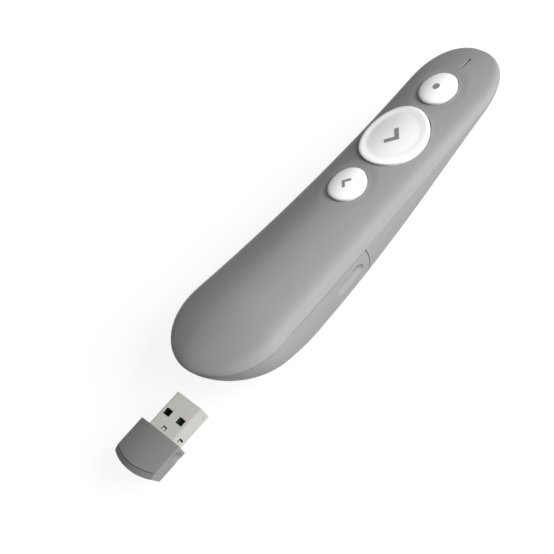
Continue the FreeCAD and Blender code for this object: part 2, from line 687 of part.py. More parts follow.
# Battery cradle: a trough open downwards, hung under the board on four ears.
trough = box("cradle_block", "2 * (Sizes.cell_radius + Sizes.cell_gap + Sizes.cradle_wall)",
             cradle_front - cradle_rear, "Sizes.cradle_depth", row_point(0, (cradle_rear + cradle_front) / 2, 0),
             height_of(board_underside - v("cradle_depth")))
bay_rear = cradle_rear + v("cradle_wall")
bay = rod("cell_bay", "Sizes.cell_radius + Sizes.cell_gap",
          "2 * Sizes.contact_thickness + Sizes.spring_length + Sizes.cell_length + Sizes.cell_button_height",
          row_point(0, bay_rear, cell_level))
bay_mouth = box("cell_bay_mouth", "2 * (Sizes.cell_radius + Sizes.cell_gap)",
                "2 * Sizes.contact_thickness + Sizes.spring_length + Sizes.cell_length"
                " + Sizes.cell_button_height",
                "Sizes.cradle_depth", row_point(0, (bay_rear + button_front + v("contact_thickness")) / 2, 0),
                height_of(cell_level - v("cradle_depth")))
cradle_ears = []
cradle_holes = []
for name, x, station, boss_end, seat in SCREWS:
    if name.startswith(("rear", "mid")):
        ear_width = v("board_boss_place") + v("ear_half_width") - v("cell_radius") - v("cell_gap")
        middle = math.copysign(v("board_boss_place") + v("ear_half_width") - ear_width / 2, x)
        cradle_ears.append(box(f"{name}_ear",
                               "Sizes.board_boss_place + Sizes.ear_half_width"
                               " - Sizes.cell_radius - Sizes.cell_gap",
                               "2 * Sizes.ear_half_width", "Sizes.ear_thickness",
                               row_point(middle, station, 0), height_of(ear_underside)))
        cradle_holes.append(post(f"{name}_ear_hole", "Sizes.screw_radius + Sizes.screw_gap",
                                 "Sizes.ear_thickness", row_point(x, station, seat)))
cradle_solid = fuse("cradle_eared", [trough] + cradle_ears)
cradle_cuts = fuse("cradle_cuts", [bay, bay_mouth] + cradle_holes)
node(cut("battery_cradle_solid", cradle_solid, cradle_cuts), "battery_cradle")


# Keys: faces that follow the crown, hollow skirts, flanges under the skin and stems.
def ring_levels(station, radius, inset):
    """Crown levels round a circle about a key's middle."""
    levels = []
    for number in range(station_count):
        turn = 2 * math.pi * number / station_count
        levels.append(crown_level(radius * math.cos(turn), station + radius * math.sin(turn), inset))
    return levels


def arrow_prism(name, span, stroke, direction, foot):
    """Upright prism of a chevron that points along X."""
    half = span / 2
    edge = stroke / 2 / math.sqrt(2)
    corners = [
        (half / 2 + 2 * edge, 0), (-half / 2 + edge, half + edge), (-half / 2 - edge, half - edge),
        (half / 2 - 2 * edge, 0), (-half / 2 - edge, edge - half), (-half / 2 + edge, -half - edge),
    ]
    points = [foot + Vector(direction * x, y, 0) for x, y in corners]
    face = Part.Face(Part.makePolygon(points + points[:1]))
    return solid(name, face.extrude(Vector(0, 0, v("crown_rear") + v("seam_bow"))))


def rim_edges(shape, centre, radius, low):
    """Numbers of the edges above a height that run round a circle in plan."""
    numbers = []
    for number, edge in enumerate(shape.Edges, 1):
        spots = [edge.valueAt(edge.FirstParameter), edge.valueAt(edge.LastParameter)]
        spots.append(edge.valueAt((edge.FirstParameter + edge.LastParameter) / 2))
        on_ring = all(abs(math.hypot(p.x - centre.x, p.y - centre.y) - radius) < v("end_cap") for p in spots)
        if on_ring and min(p.z for p in spots) > low and edge.Length > v("key_face"):
            numbers.append(number)
    return numbers


for name, station, radius_name in KEYS:
    radius = v(radius_name)
    flange_top = min(ring_levels(station, radius + v("key_flange"), v("wall"))) - v("flange_gap")
    flange_low = flange_top - v("key_flange_thickness")
    sunk = v("dish_depth") if name == "next" else 0
    face_low = min(ring_levels(station, radius - v("key_skirt"), sunk - v("key_rise"))) - v("key_face")
    foot = row_point(0, station, flange_low)
    blank = common(f"{name}_key_blank", [post(f"{name}_key_post", f"Sizes.{radius_name}", tall, foot), key_crown])
    doc.recompute()
    rim = doc.addObject("Part::Fillet", f"{name}_key_rim")
    rim.Base = blank
    ring = rim_edges(blank.Shape, foot, radius, foot.z + v("key_flange_thickness"))
    rim.Edges = [(number, v("key_round"), v("key_round")) for number in ring]
    flange = post(f"{name}_key_flange", f"Sizes.{radius_name} + Sizes.key_flange",
                  "Sizes.key_flange_thickness", foot)
    hollow = post(f"{name}_key_hollow", f"Sizes.{radius_name} - Sizes.key_skirt", face_low - flange_low, foot)
    stem = post(f"{name}_key_stem", "Sizes.stem_radius", face_low - plunger_top + v("key_face") / 2,
                row_point(0, station, plunger_top))
    cap = cut(f"{name}_key_shell", fuse(f"{name}_key_flanged", [rim, flange]), hollow)
    cap = fuse(f"{name}_key_stemmed", [cap, stem])
    if name == "next":
        well = post("dish_well", "Sizes.dish_radius", tall, row_point(0, station, face_low))
        cap = cut("dished_key", cap, cut("dish_tool", well, dish_crown))
    symbol_foot = row_point(0, station, face_low)
    if name == "laser":
        prism = post("dot_prism", "Sizes.dot_radius", tall, symbol_foot)
    else:
        prism = arrow_prism(f"{name}_arrow", v(f"{name}_arrow_span"), v(f"{name}_arrow_stroke"),
                            1 if name == "next" else -1, symbol_foot)
    layer = dish_symbol_crown if name == "next" else symbol_crown
    inlay_tool = cut(f"{name}_inlay_tool", prism, layer)
    node(cut(f"{name}_key_solid", cap, inlay_tool), f"{name}_key")
    node(common(f"{name}_symbol_solid", [cap, inlay_tool]), f"{name}_symbol")

    # Switch on the board, with a bore for the plunger that the key's stem presses.
    switch_foot = row_point(0, station, v("board_level"))
    block = box(f"{name}_switch_block", "Sizes.switch_side", "Sizes.switch_side", "Sizes.switch_height",
                switch_foot, switch_foot.z)
    plunger_low = switch_top - v("plunger_depth")
    bore_low = plunger_low - v("key_travel") - v("plunger_rest_gap")
    bore = post(f"{name}_switch_bore", "Sizes.plunger_radius + Sizes.plunger_gap", "Sizes.switch_height",
                row_point(0, station, bore_low))
    node(cut(f"{name}_switch_solid", block, bore), f"{name}_switch")
    node(post(f"{name}_plunger_solid", "Sizes.plunger_radius", "Sizes.plunger_rise + Sizes.plunger_depth",
              row_point(0, station, plunger_low)), f"{name}_plunger")


# Main board: a rounded plate with six screw holes, drawn from the origin of its body.
def centred_rectangle(sketch, width, length):
    """Rectangle about the sketch's origin with both sides bound to the sheet."""
    half = Vector(v("switch_side"), v("switch_side"), 0)
    corners = [Vector(-half.x, -half.y, 0), Vector(half.x, -half.y, 0), Vector(half.x, half.y, 0),
               Vector(-half.x, half.y, 0)]
    lines = [sketch.addGeometry(Part.LineSegment(a, b)) for a, b in zip(corners, corners[1:] + corners[:1])]
    for number, line in enumerate(lines):
        sketch.addConstraint(Sketcher.Constraint("Coincident", line, 2, lines[(number + 1) % 4], 1))
        sketch.addConstraint(Sketcher.Constraint("Horizontal" if number % 2 == 0 else "Vertical", line))
    sketch.addConstraint(Sketcher.Constraint("Symmetric", lines[0], 1, lines[2], 1, -1, 1))
    for name, line, kind, size in (("width", lines[0], "DistanceX", width), ("length", lines[1], "DistanceY", length)):
        number = sketch.addConstraint(Sketcher.Constraint(kind, line, 1, line, 2, 2 * half.x))
        sketch.renameConstraint(number, name)
        sketch.setExpression(f"Constraints.{name}", size)


def plate(name, width, length, thickness, top_middle):
    """Body with one padded rectangle that hangs down from the middle of its upper face."""
    body = doc.addObject("PartDesign::Body", name)
    sketch = body.newObject("Sketcher::SketchObject", f"{name}_outline")
    plane = [item for item in body.Origin.OriginFeatures if item.Role == "XY_Plane"][0]
    sketch.AttachmentSupport = [(plane, "")]
    sketch.MapMode = "FlatFace"
    centred_rectangle(sketch, width, length)
    pad = body.newObject("PartDesign::Pad", f"{name}_pad")
    pad.Profile = sketch
    pad.Reversed = True
    bind(pad, Length=thickness)
    body.Placement.Base = top_middle
    return body


board_middle = (board_rear_station + board_front_station) / 2
board = plate("board_plate", "2 * Sizes.board_half_width",
              "Sizes.next_key_setback + Sizes.next_key_radius + Sizes.back_key_bridge"
              " + 2 * Sizes.small_key_radius + Sizes.rear_boss_gap + Sizes.board_margin"
              " - Sizes.board_front_setback", "Sizes.board_thickness",
              row_point(0, board_middle, v("board_level")))
doc.recompute()
upright = [f"Edge{number}" for number, edge in enumerate(board.Shape.Edges, 1)
           if edge.BoundBox.XLength + edge.BoundBox.YLength < v("end_cap")]
rounding = board.newObject("PartDesign::Fillet", "board_corners")
rounding.Base = (board.Group[-2] if board.Group[-1] is rounding else board.Group[-1], upright)
bind(rounding, Radius="Sizes.board_round")
board_holes = []
for name, x, station, boss_end, seat in SCREWS:
    if not name.startswith("door"):
        board_holes.append(post(f"{name}_board_hole", "Sizes.screw_radius + Sizes.screw_gap",
                                "Sizes.board_thickness", row_point(x, station, board_underside)))
node(cut("main_board_solid", board, compound("board_holes", board_holes)), "main_board")

# Parts under the front of the board: radio chip, crystal and buffer capacitor.
chip_station = (cradle_front + front_boss_station) / 2
chip_low = height_of(board_underside)
node(box("radio_chip_block", "Sizes.chip_side", "Sizes.chip_side", "Sizes.chip_thickness",
         row_point(0, chip_station, 0), chip_low - v("chip_thickness")), "radio_chip")
crystal_x = -(v("chip_side") + v("crystal_length")) / 2 - v("crystal_gap")
node(box("crystal_block", "Sizes.crystal_length", "Sizes.crystal_width", "Sizes.crystal_thickness",
         row_point(crystal_x, chip_station, 0), chip_low - v("crystal_thickness")), "crystal")
capacitor_x = v("chip_side") / 2 + v("crystal_gap") + v("capacitor_radius")
node(post("capacitor_can", "Sizes.capacitor_radius", "Sizes.capacitor_height",
          row_point(capacitor_x, chip_station, board_underside - v("capacitor_height"))), "capacitor")

# Screws: slotted pan heads below, shanks up into the bosses.
for name, x, station, boss_end, seat in SCREWS:
    head_foot = row_point(x, station, seat - v("screw_head_height"))
    head = post(f"{name}_head", "Sizes.screw_head_radius", "Sizes.screw_head_height", head_foot)
    shank = post(f"{name}_shank", "Sizes.screw_radius", boss_end - seat + v("screw_grip"),
                 row_point(x, station, seat))
    slot_box = box(f"{name}_slot", "Sizes.screw_slot", "2 * Sizes.screw_head_radius", "Sizes.screw_slot",
                   head_foot, head_foot.z)
    node(cut(f"{name}_solid", fuse(f"{name}_blank", [head, shank]), slot_box), name)

# Cell: steel can with a button forward, in a printed jacket.
can = rod("cell_can_barrel", "Sizes.cell_radius - Sizes.jacket_thickness", "Sizes.cell_length",
          row_point(0, cell_rear, cell_level))
button = rod("cell_button", "Sizes.cell_button_radius", "Sizes.cell_button_height",
             row_point(0, button_rear, cell_level))
node(fuse("cell_can_solid", [can, button]), "cell_can")
sleeve = rod("jacket_sleeve", "Sizes.cell_radius", "Sizes.cell_length - 2 * Sizes.jacket_end",
             row_point(0, cell_rear + v("jacket_end"), cell_level))
sleeve_bore = rod("jacket_bore", "Sizes.cell_radius - Sizes.jacket_thickness", "Sizes.cell_length",
                  row_point(0, cell_rear, cell_level))
node(cut("cell_jacket_solid", sleeve, sleeve_bore), "cell_jacket")

# Contacts at the cradle's two end walls, and the coiled spring on the rear one.
for name, rear in (("rear_contact", bay_rear), ("front_contact", button_front)):
    middle = row_point(0, rear + v("contact_thickness") / 2, 0)
    node(box(f"{name}_plate", "Sizes.contact_width", "Sizes.contact_thickness", "Sizes.contact_height",
             middle, height_of(cell_level) - v("contact_height") / 2), name)


def arc_towards(start, heading, end):
    """Arc that leaves start along heading and reaches end."""
    chord = end - start
    inward = heading.cross(chord).cross(heading)
    inward.normalize()
    radius = chord.dot(chord) / (2 * inward.dot(chord))
    centre = start + inward * radius
    middle = (start - centre) + (end - centre)
    middle.normalize()
    return Part.Arc(start, centre + middle * radius, end).toShape()


def spring_shape(rear, length, radius, wire):
    """Coil about an axis along Y from a rear point, swept along pairs of quarter-turn arcs."""
    rise = length - 2 * wire
    climb = rise / (2 * math.pi * spring_turns)
    arcs = []
    for number in range(4 * spring_turns):
        ends = []
        for turn in (math.pi / 2 * number, math.pi / 2 * (number + 1)):
            place = rear + Vector(radius * math.cos(turn), wire + climb * turn, radius * math.sin(turn))
            heading = Vector(-radius * math.sin(turn), climb, radius * math.cos(turn))
            heading.normalize()
            ends.append((place, heading))
        (start, leaving), (end, arriving) = ends
        chord = end - start
        slack = 2 * (1 - leaving.dot(arriving))
        push = 2 * chord.dot(leaving + arriving)
        reach = (math.sqrt(push ** 2 + 4 * slack * chord.dot(chord)) - push) / (2 * slack)
        near, far = start + leaving * reach, end - arriving * reach
        turning = far - near
        turning.normalize()
        arcs += [arc_towards(start, leaving, (near + far) / 2), arc_towards((near + far) / 2, turning, end)]
    first = rear + Vector(radius, wire, 0)
    ring = Part.Wire(Part.makeCircle(wire, first, Vector(0, climb, radius)))
    return Part.Wire(arcs).makePipeShell([ring], True, False)


coil = spring_shape(row_point(0, spring_rear, cell_level), v("spring_length"), v("spring_radius"), v("spring_wire"))
node(solid("contact_spring_solid", coil), "contact_spring")

# Laser module on its ribs, with its lens and its small board.
barrel = rod("laser_barrel", "Sizes.laser_radius", "Sizes.laser_length",
             row_point(0, laser_rear_station, v("laser_level")))
laser_bore = rod("laser_bore", "Sizes.laser_bore", "Sizes.laser_length",
                 row_point(0, laser_rear_station + v("laser_length") / 4, v("laser_level")))
node(cut("laser_module_solid", barrel, laser_bore), "laser_module")
lens_rear = laser_rear_station + v("laser_length") - v("lens_thickness")
node(rod("laser_lens_disc", "Sizes.laser_bore", "Sizes.lens_thickness",
         row_point(0, lens_rear, v("laser_level"))), "laser_lens")
laser_board_station = laser_rear_station - v("laser_board_thickness") / 2
node(box("laser_board_plate", "Sizes.laser_board_side", "Sizes.laser_board_thickness", "Sizes.laser_board_side",
         row_point(0, laser_board_station, 0), height_of(v("laser_level")) - v("laser_board_side") / 2),
     "laser_board")

# Receiver, drawn about the middle of its plug at the body's front face.
face_y = row_point(0, -v("receiver_out"), 0).y
plug_middle = Vector(0, face_y, plug_height_z)


def receiver_plan(height):
    """Face of the receiver's plan: straight sides, square front and a bowed end."""
    half_width = v("receiver_half_width")
    front_right = plug_middle + Vector(half_width, 0, height)
    rear_right = plug_middle + Vector(half_width, -v("receiver_side_length"), height)
    rear_middle = plug_middle + Vector(0, -v("receiver_length"), height)
    rear_left = plug_middle + Vector(-half_width, -v("receiver_side_length"), height)
    front_left = plug_middle + Vector(-half_width, 0, height)
    bow = Part.Arc(rear_right, rear_middle, rear_left).toShape()
    sides = Part.makePolygon([rear_left, front_left, front_right, rear_right]).Edges
    return Part.Face(Part.Wire([bow] + sides))


lean_height = v("receiver_shoulder") - v("receiver_band_drop")
lean_depth = lean_height + v("receiver_keel")
leaning = solid("receiver_leaning", receiver_plan(lean_height).extrude(
    Vector(0, v("receiver_undercut"), -lean_depth)))
standing_part = solid("receiver_upright", receiver_plan(lean_height).extrude(Vector(0, 0, v("receiver_top"))))
section = solid("receiver_section", receiver_section(
    0, face_y - v("receiver_length") - v("cut_over"), face_y, plug_height_z))
receiver_blank = common("receiver_blank", [fuse("receiver_prism", [leaning, standing_part]), section])
doc.recompute()
band_edges = []
for number, edge in enumerate(receiver_blank.Shape.Edges, 1):
    middle = edge.valueAt((edge.FirstParameter + edge.LastParameter) / 2)
    at_top = middle.z > plug_middle.z + lean_height + v("receiver_band_drop") / 2
    if at_top and middle.y < face_y - v("receiver_side_length") and edge.Length > v("receiver_half_width") / 2:
        band_edges.append(number)
band = doc.addObject("Part::Chamfer", "receiver_band")
band.Base = receiver_blank
band.Edges = [(number, v("receiver_band_drop"), v("receiver_band")) for number in band_edges]
plug_socket = box("plug_socket", "Sizes.plug_width", "Sizes.plug_root", "Sizes.plug_height",
                  plug_middle - Vector(0, v("plug_root") / 2, 0), plug_middle.z - v("plug_height") / 2)
inside_height = v("plug_height") - 2 * v("plug_wall")
chamber = box("receiver_chamber", "Sizes.plug_width - 2 * Sizes.plug_wall",
              "Sizes.receiver_side_length - Sizes.receiver_wall - Sizes.receiver_undercut",
              "Sizes.plug_height - 2 * Sizes.plug_wall",
              plug_middle - Vector(0, (v("receiver_side_length") - v("receiver_wall") - v("receiver_undercut")) / 2, 0),
              plug_middle.z - inside_height / 2)
dimples = []
for side, sign in (("right", 1), ("left", -1)):
    ball = doc.addObject("Part::Sphere", f"receiver_dimple_{side}")
    bind(ball, Radius="Sizes.receiver_dimple")
    reach = v("receiver_half_width") + v("receiver_dimple") - v("receiver_dimple_depth")
    ball.Placement.Base = plug_middle + Vector(sign * reach, -v("receiver_dimple"), 0)
    dimples.append(ball)
receiver_cuts = compound("receiver_cuts", [fuse("receiver_hollow", [plug_socket, chamber])] + dimples)
node(cut("receiver_body_solid", band, receiver_cuts), "receiver_body")

# Plug shell: a folded sheet tube with two windows on each broad side.
shell_middle = plug_middle + Vector(0, (v("plug_length") - v("plug_root")) / 2, 0)
tube = box("plug_tube", "Sizes.plug_width", "Sizes.plug_length + Sizes.plug_root", "Sizes.plug_height",
           shell_middle, plug_middle.z - v("plug_height") / 2)
doc.recompute()
long_edges = [number for number, edge in enumerate(tube.Shape.Edges, 1)
              if edge.BoundBox.YLength > v("plug_length")]
tube_rounded = doc.addObject("Part::Fillet", "plug_tube_rounded")
tube_rounded.Base = tube
tube_rounded.Edges = [(number, v("plug_corner"), v("plug_corner")) for number in long_edges]
tube_bore = box("plug_bore", "Sizes.plug_width - 2 * Sizes.plug_wall",
                "Sizes.plug_length + Sizes.plug_root", "Sizes.plug_height - 2 * Sizes.plug_wall",
                shell_middle, plug_middle.z - inside_height / 2)
windows = []
for side, sign in (("right", 1), ("left", -1)):
    spot = plug_middle + Vector(sign * v("window_place"), v("window_from_face"), 0)
    windows.append(box(f"plug_window_{side}", "Sizes.window_side", "Sizes.window_length",
                       "2 * Sizes.plug_height", spot, plug_middle.z - v("plug_height")))
node(cut("plug_shell_solid", tube_rounded, fuse("plug_cuts", [tube_bore] + windows)), "plug_shell")

# Inside the plug: plastic tongue, circuit board, contact fingers and chip.
tongue_low = plug_middle.z - inside_height / 2
tongue_length = v("plug_length") + v("plug_root") - v("tongue_setback")
node(box("plug_tongue_block", "Sizes.plug_width - 2 * Sizes.plug_wall",
         "Sizes.plug_length + Sizes.plug_root - Sizes.tongue_setback", "Sizes.tongue_thickness",
         plug_middle + Vector(0, tongue_length / 2 - v("plug_root"), 0), tongue_low), "plug_tongue")
stick_top = tongue_low + v("tongue_thickness") + v("stick_board_thickness")
stick_front = v("plug_length") - 2 * v("tongue_setback")
stick_rear = -v("receiver_side_length") + v("receiver_wall") + v("receiver_undercut")
stick_board = plate("receiver_board_plate", "Sizes.stick_board_width",
                    "Sizes.plug_length - 2 * Sizes.tongue_setback + Sizes.receiver_side_length"
                    " - Sizes.receiver_wall - Sizes.receiver_undercut",
                    "Sizes.stick_board_thickness",
                    Vector(0, face_y + (stick_front + stick_rear) / 2, stick_top))
node(stick_board, "receiver_board")
for number in range(4):
    x = (number - 1.5) * v("finger_pitch")
    middle = plug_middle + Vector(x, stick_front - v("finger_length") / 2, 0)
    node(box(f"finger_{number + 1}", "Sizes.finger_width", "Sizes.finger_length", "Sizes.finger_thickness",
             middle, stick_top), f"contact_finger_{number + 1}")
chip_middle = plug_middle - Vector(0, v("plug_root") + v("stick_chip_side") / 2, 0)
node(box("receiver_chip_block", "Sizes.stick_chip_side", "Sizes.stick_chip_side", "Sizes.stick_chip_thickness",
         chip_middle, stick_top), "receiver_chip")

doc.recompute()
for thing in doc.Objects:
    if "Invalid" in thing.State or "Error" in thing.State:
        raise RuntimeError(f"{thing.Label} did not build: {thing.State}")
for thing in nodes:
    if thing.Shape.isNull() or not thing.Shape.isValid():
        raise RuntimeError(f"{thing.Label} has no valid shape")
    if len(thing.Shape.Solids) != 1:
        raise RuntimeError(f"{thing.Label} is {len(thing.Shape.Solids)} solids")
for thing in nodes:
    thing.Shape.exportStep(f"parts/{thing.Label}.step")
print(f"{len(nodes)} nodes written")
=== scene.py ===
import math

import bmesh
import bpy
from mathutils import Matrix, Vector
from mathutils.bvhtree import BVHTree


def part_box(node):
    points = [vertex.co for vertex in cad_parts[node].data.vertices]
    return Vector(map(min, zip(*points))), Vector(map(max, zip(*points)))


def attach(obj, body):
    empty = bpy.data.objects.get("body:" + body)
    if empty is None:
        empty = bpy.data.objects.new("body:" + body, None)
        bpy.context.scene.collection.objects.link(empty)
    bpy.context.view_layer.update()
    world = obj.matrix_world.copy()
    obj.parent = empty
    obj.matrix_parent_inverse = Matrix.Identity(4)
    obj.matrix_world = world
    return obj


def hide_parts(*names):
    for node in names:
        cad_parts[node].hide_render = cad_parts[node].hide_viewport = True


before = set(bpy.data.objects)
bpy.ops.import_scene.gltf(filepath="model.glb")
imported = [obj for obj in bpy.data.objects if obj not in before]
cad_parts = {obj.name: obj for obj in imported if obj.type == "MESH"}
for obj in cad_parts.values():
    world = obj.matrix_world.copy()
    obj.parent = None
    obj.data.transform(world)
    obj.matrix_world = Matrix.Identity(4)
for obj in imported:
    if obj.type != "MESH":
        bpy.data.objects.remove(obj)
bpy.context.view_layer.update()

# Upper housing: the top half of the presenter, one thin-walled shell that carries the keys and the
# screw bosses. It is injection moulded in grey ABS, in a mould with a fine spark-eroded satin face,
# and the shell sinks softly towards the two small keys.

# Sizes are in millimetres, and a station is a distance from the tail along the presenter.
MM = 0.001
BODY_LENGTH = 129.7
REST_STATION = 44.5
SEAM_HEIGHT = 16.427
SEAM_BOW = 13.7
SEAM_FALL = 2.68
SEAM_BREAK = 0.13
HALF_WIDTHS = (19.69, 16.55, 15.44)
TAIL_ROUND = (19.8, 1.85)
NOSE_ROUND = (17.3, 2.17)
CROWN_RISES = (6.17, 6.38, 4.41)
TAIL_SLOPE = (24.8, 1.6)
NOSE_SLOPE = (19.9, 1.6)
CROWN_FALL = 0.573
CROWN_FALL_LOSS = 0.032
KEY_STATIONS = {"back": 70.6, "next": 90.9, "laser": 110.8}
SMALL_OPENING = 6.25
SURROUND_REACH = 3.4
SURROUND_DEPTH = 0.28
MARK_STATION = 123
# A place this near to the crown, the seam or the side counts as on it.
SKIN_BAND = 0.05
SEAM_BAND = 0.012
SIDE_BAND = 0.03
# The mesh is refined in these steps, and slivers that are left are merged.
LONGEST_EDGES = (6, 3, 1.5, 0.8)
SLIVER = 0.06
SLIVER_MARGIN = 2
HOUSING_GREY = "#828282"
HOUSING_ROUGHNESS = 0.38
HOUSING_SHEEN = 0.7


def linear(code):
    """An sRGB hex colour as linear red, green, blue and alpha."""
    parts = [int(code[place:place + 2], 16) / 255 for place in (1, 3, 5)]
    return [part / 12.92 if part <= 0.04045 else ((part + 0.055) / 1.055) ** 2.4 for part in parts] + [1.0]


def blank(name):
    """A material with nothing in it yet."""
    material = bpy.data.materials.new(name)
    material.use_nodes = True
    material.node_tree.nodes.clear()
    return material


def add(owner, kind, **settings):
    """One shader node. A setting is a socket's value, a (node, output) pair to link, or a property."""
    node = owner.node_tree.nodes.new("ShaderNode" + kind)
    for name, value in settings.items():
        sockets = [socket for socket in node.inputs
                   if name in (socket.identifier, socket.name.replace(" ", "_"))]
        if not sockets:
            setattr(node, name, value)
        elif isinstance(value, tuple) and isinstance(value[0], bpy.types.Node):
            owner.node_tree.links.new(value[0].outputs[value[1]], sockets[0])
        else:
            sockets[0].default_value = value
    return node


def moulded(name, colour, roughness, grain, depth, sheen=0.5):
    """Moulded plastic: an even colour, a satin face of grain millimetres across and depth
    millimetres deep, and a gloss that drifts a little where the melt cooled unevenly."""
    material = blank(name)
    place = add(material, "TexCoord")
    face = add(material, "TexNoise", Vector=(place, "Object"), Scale=1000 / grain, Detail=3.0)
    drift = add(material, "TexNoise", Vector=(place, "Object"), Scale=1000 / 9, Detail=2.0)
    gloss = add(material, "MapRange", Value=(drift, "Fac"), From_Min=0.3, From_Max=0.7,
                To_Min=roughness - 0.03, To_Max=roughness + 0.03)
    relief = add(material, "Bump", Height=(face, "Fac"), Strength=1.0, Distance=depth * MM)
    shader = add(material, "BsdfPrincipled", Base_Color=linear(colour), Roughness=(gloss, "Result"),
                 Normal=(relief, "Normal"), IOR=1.5, Specular_IOR_Level=sheen)
    add(material, "OutputMaterial", Surface=(shader, "BSDF"))
    return material


def piece_of(work, name, material, body, *nodes, corner=30):
    """Turns a bmesh into a piece that stands for CAD nodes, if any, and rides on a body."""
    mesh = bpy.data.meshes.new(name)
    for face in work.faces:
        face.smooth = True
    work.to_mesh(mesh)
    work.free()
    mesh.set_sharp_from_angle(angle=math.radians(corner))
    mesh.materials.append(material)
    piece = bpy.data.objects.new(name, mesh)
    bpy.context.collection.objects.link(piece)
    if nodes:
        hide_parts(*nodes)
    evening = piece.modifiers.new("even_shading", "WEIGHTED_NORMAL")
    evening.keep_sharp = True
    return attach(piece, body)


def merged(node):
    """A copy of a CAD node with its loose triangles merged into one mesh."""
    work = bmesh.new()
    work.from_mesh(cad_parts[node].data)
    bmesh.ops.remove_doubles(work, verts=work.verts, dist=0.0001 * MM)
    return work


def along(station):
    """A station's place on the Y axis, in metres."""
    return (station - REST_STATION) * MM


def station_at(y):
    """The station of a place on the Y axis given in metres."""
    return y / MM + REST_STATION


def through_three(share, rear, middle, front):
    """Smooth rule through a size at 15, 50 and 85 per cent of the presenter's length."""
    step = (share - 0.5) / 0.35
    return middle + (front - rear) / 2 * step + ((rear + front) / 2 - middle) * step ** 2


def rounded(distance, reach, power):
    """1 away from an end, falling to 0 at the end."""
    return (1 - (1 - min(max(distance / reach, 0), 1)) ** power) ** (1 / power)


def half_width_at(y):
    """Half width of the presenter along its length, in millimetres."""
    station = station_at(y)
    ends = rounded(station, *TAIL_ROUND) * rounded(BODY_LENGTH - station, *NOSE_ROUND)
    return through_three(station / BODY_LENGTH, *HALF_WIDTHS) * ends


def seam_height(y):
    """Height of the seam between the housings along the presenter, in metres."""
    share = station_at(y) / BODY_LENGTH - 0.5
    return (SEAM_HEIGHT + SEAM_BOW * share ** 2 - SEAM_FALL * share) * MM


def crown_height(x, y):
    """Height of the upper housing's plain outer face over a point of the table, in metres."""
    station = station_at(y)
    share = station / BODY_LENGTH
    crown = through_three(share, *CROWN_RISES)
    crown *= rounded(station, *TAIL_SLOPE) * rounded(BODY_LENGTH - station, *NOSE_SLOPE)
    fall = (CROWN_FALL - CROWN_FALL_LOSS * share) * (x / MM / max(half_width_at(y), 0.1)) ** 2
    return seam_height(y) + crown * (1 - fall) * MM


def on_crown(place, band):
    """Whether a place lies within band millimetres of the upper housing's plain outer face."""
    return abs(place.z - crown_height(place.x, place.y)) < band * MM


def sunk(work, station, opening, depth):
    """Gives the crown a finer mesh round a station, and lets it sink towards an opening there."""
    middle = Vector((0, along(station)))
    reach = (opening + SURROUND_REACH) * MM
    for longest in LONGEST_EDGES:
        near = []
        for edge in work.edges:
            ends = [vert.co for vert in edge.verts]
            centre = (ends[0] + ends[1]) / 2
            close = (centre.xy - middle).length - edge.calc_length() / 2 < reach
            outside = all(on_crown(end, SKIN_BAND) for end in ends)
            if outside and close and edge.calc_length() > longest * MM:
                near.append(edge)
        bmesh.ops.subdivide_edges(work, edges=near, cuts=1, use_grid_fill=True)
        bmesh.ops.triangulate(work, faces=[face for face in work.faces if len(face.verts) > 3])
    for vert in work.verts:
        away = (vert.co.xy - middle).length
        if away < reach and on_crown(vert.co, SKIN_BAND):
            share = 1 - (away - opening * MM) / (SURROUND_REACH * MM)
            drop = depth * MM * share * share * (3 - 2 * share)
            vert.co.z = crown_height(vert.co.x, vert.co.y) - drop
    trimmed, band = reach + SLIVER_MARGIN * MM, depth + 2 * SKIN_BAND
    near = []
    for edge in work.edges:
        ends = [vert.co for vert in edge.verts]
        if all((end.xy - middle).length < trimmed and on_crown(end, band) for end in ends):
            near.append(edge)
    bmesh.ops.dissolve_degenerate(work, dist=SLIVER * MM, edges=near)


def eased(work):
    """Breaks the outer edge along the seam, which leaves a fine shadow line."""
    edges = []
    for edge in work.edges:
        ends = [vert.co for vert in edge.verts]
        on_seam = all(abs(end.z - seam_height(end.y)) < SEAM_BAND * MM for end in ends)
        outside = all(abs(abs(end.x) - half_width_at(end.y) * MM) < SIDE_BAND * MM for end in ends)
        if on_seam and outside:
            edges.append(edge)
    bmesh.ops.bevel(work, geom=edges, offset=SEAM_BREAK * MM, offset_type="OFFSET", segments=1,
                    profile=0.5, affect="EDGES", material=-1, clamp_overlap=True)
    return work


grey_abs = moulded("moulded_grey_abs", HOUSING_GREY, HOUSING_ROUGHNESS, 0.30, 0.002, sheen=HOUSING_SHEEN)
work = merged("upper_housing")
sunk(work, KEY_STATIONS["back"], SMALL_OPENING, SURROUND_DEPTH)
sunk(work, KEY_STATIONS["laser"], SMALL_OPENING, SURROUND_DEPTH)
sunk(work, MARK_STATION, 0, 0)
upper = piece_of(eased(work), "upper_shell", grey_abs, "handset", "upper_housing")

# Lower housing and battery door: the two parts of the belly, moulded like the top in the same grey
# ABS. The door parts from the front along a curve, and has a finger grip on each side.

GRIP_ENDS = (45.6, 53.3)
GRIP_DROP = 3.8
GRIP_ROUND = 2.1
GRIP_DEPTH = 0.8
RAY_START = 40


def carved(work, *tools):
    """The first shape with the others cut out of it."""
    things = []
    for shape in (work, *tools):
        mesh = bpy.data.meshes.new("carving")
        shape.to_mesh(mesh)
        shape.free()
        things.append(bpy.data.objects.new("carving", mesh))
        bpy.context.collection.objects.link(things[-1])
    for tool in things[1:]:
        step = things[0].modifiers.new("cut", "BOOLEAN")
        step.object = tool
        step.solver = "EXACT"
    mesh = bpy.data.meshes.new_from_object(things[0].evaluated_get(bpy.context.evaluated_depsgraph_get()))
    for thing in things:
        bpy.data.objects.remove(thing)
    shape = bmesh.new()
    shape.from_mesh(mesh)
    return shape


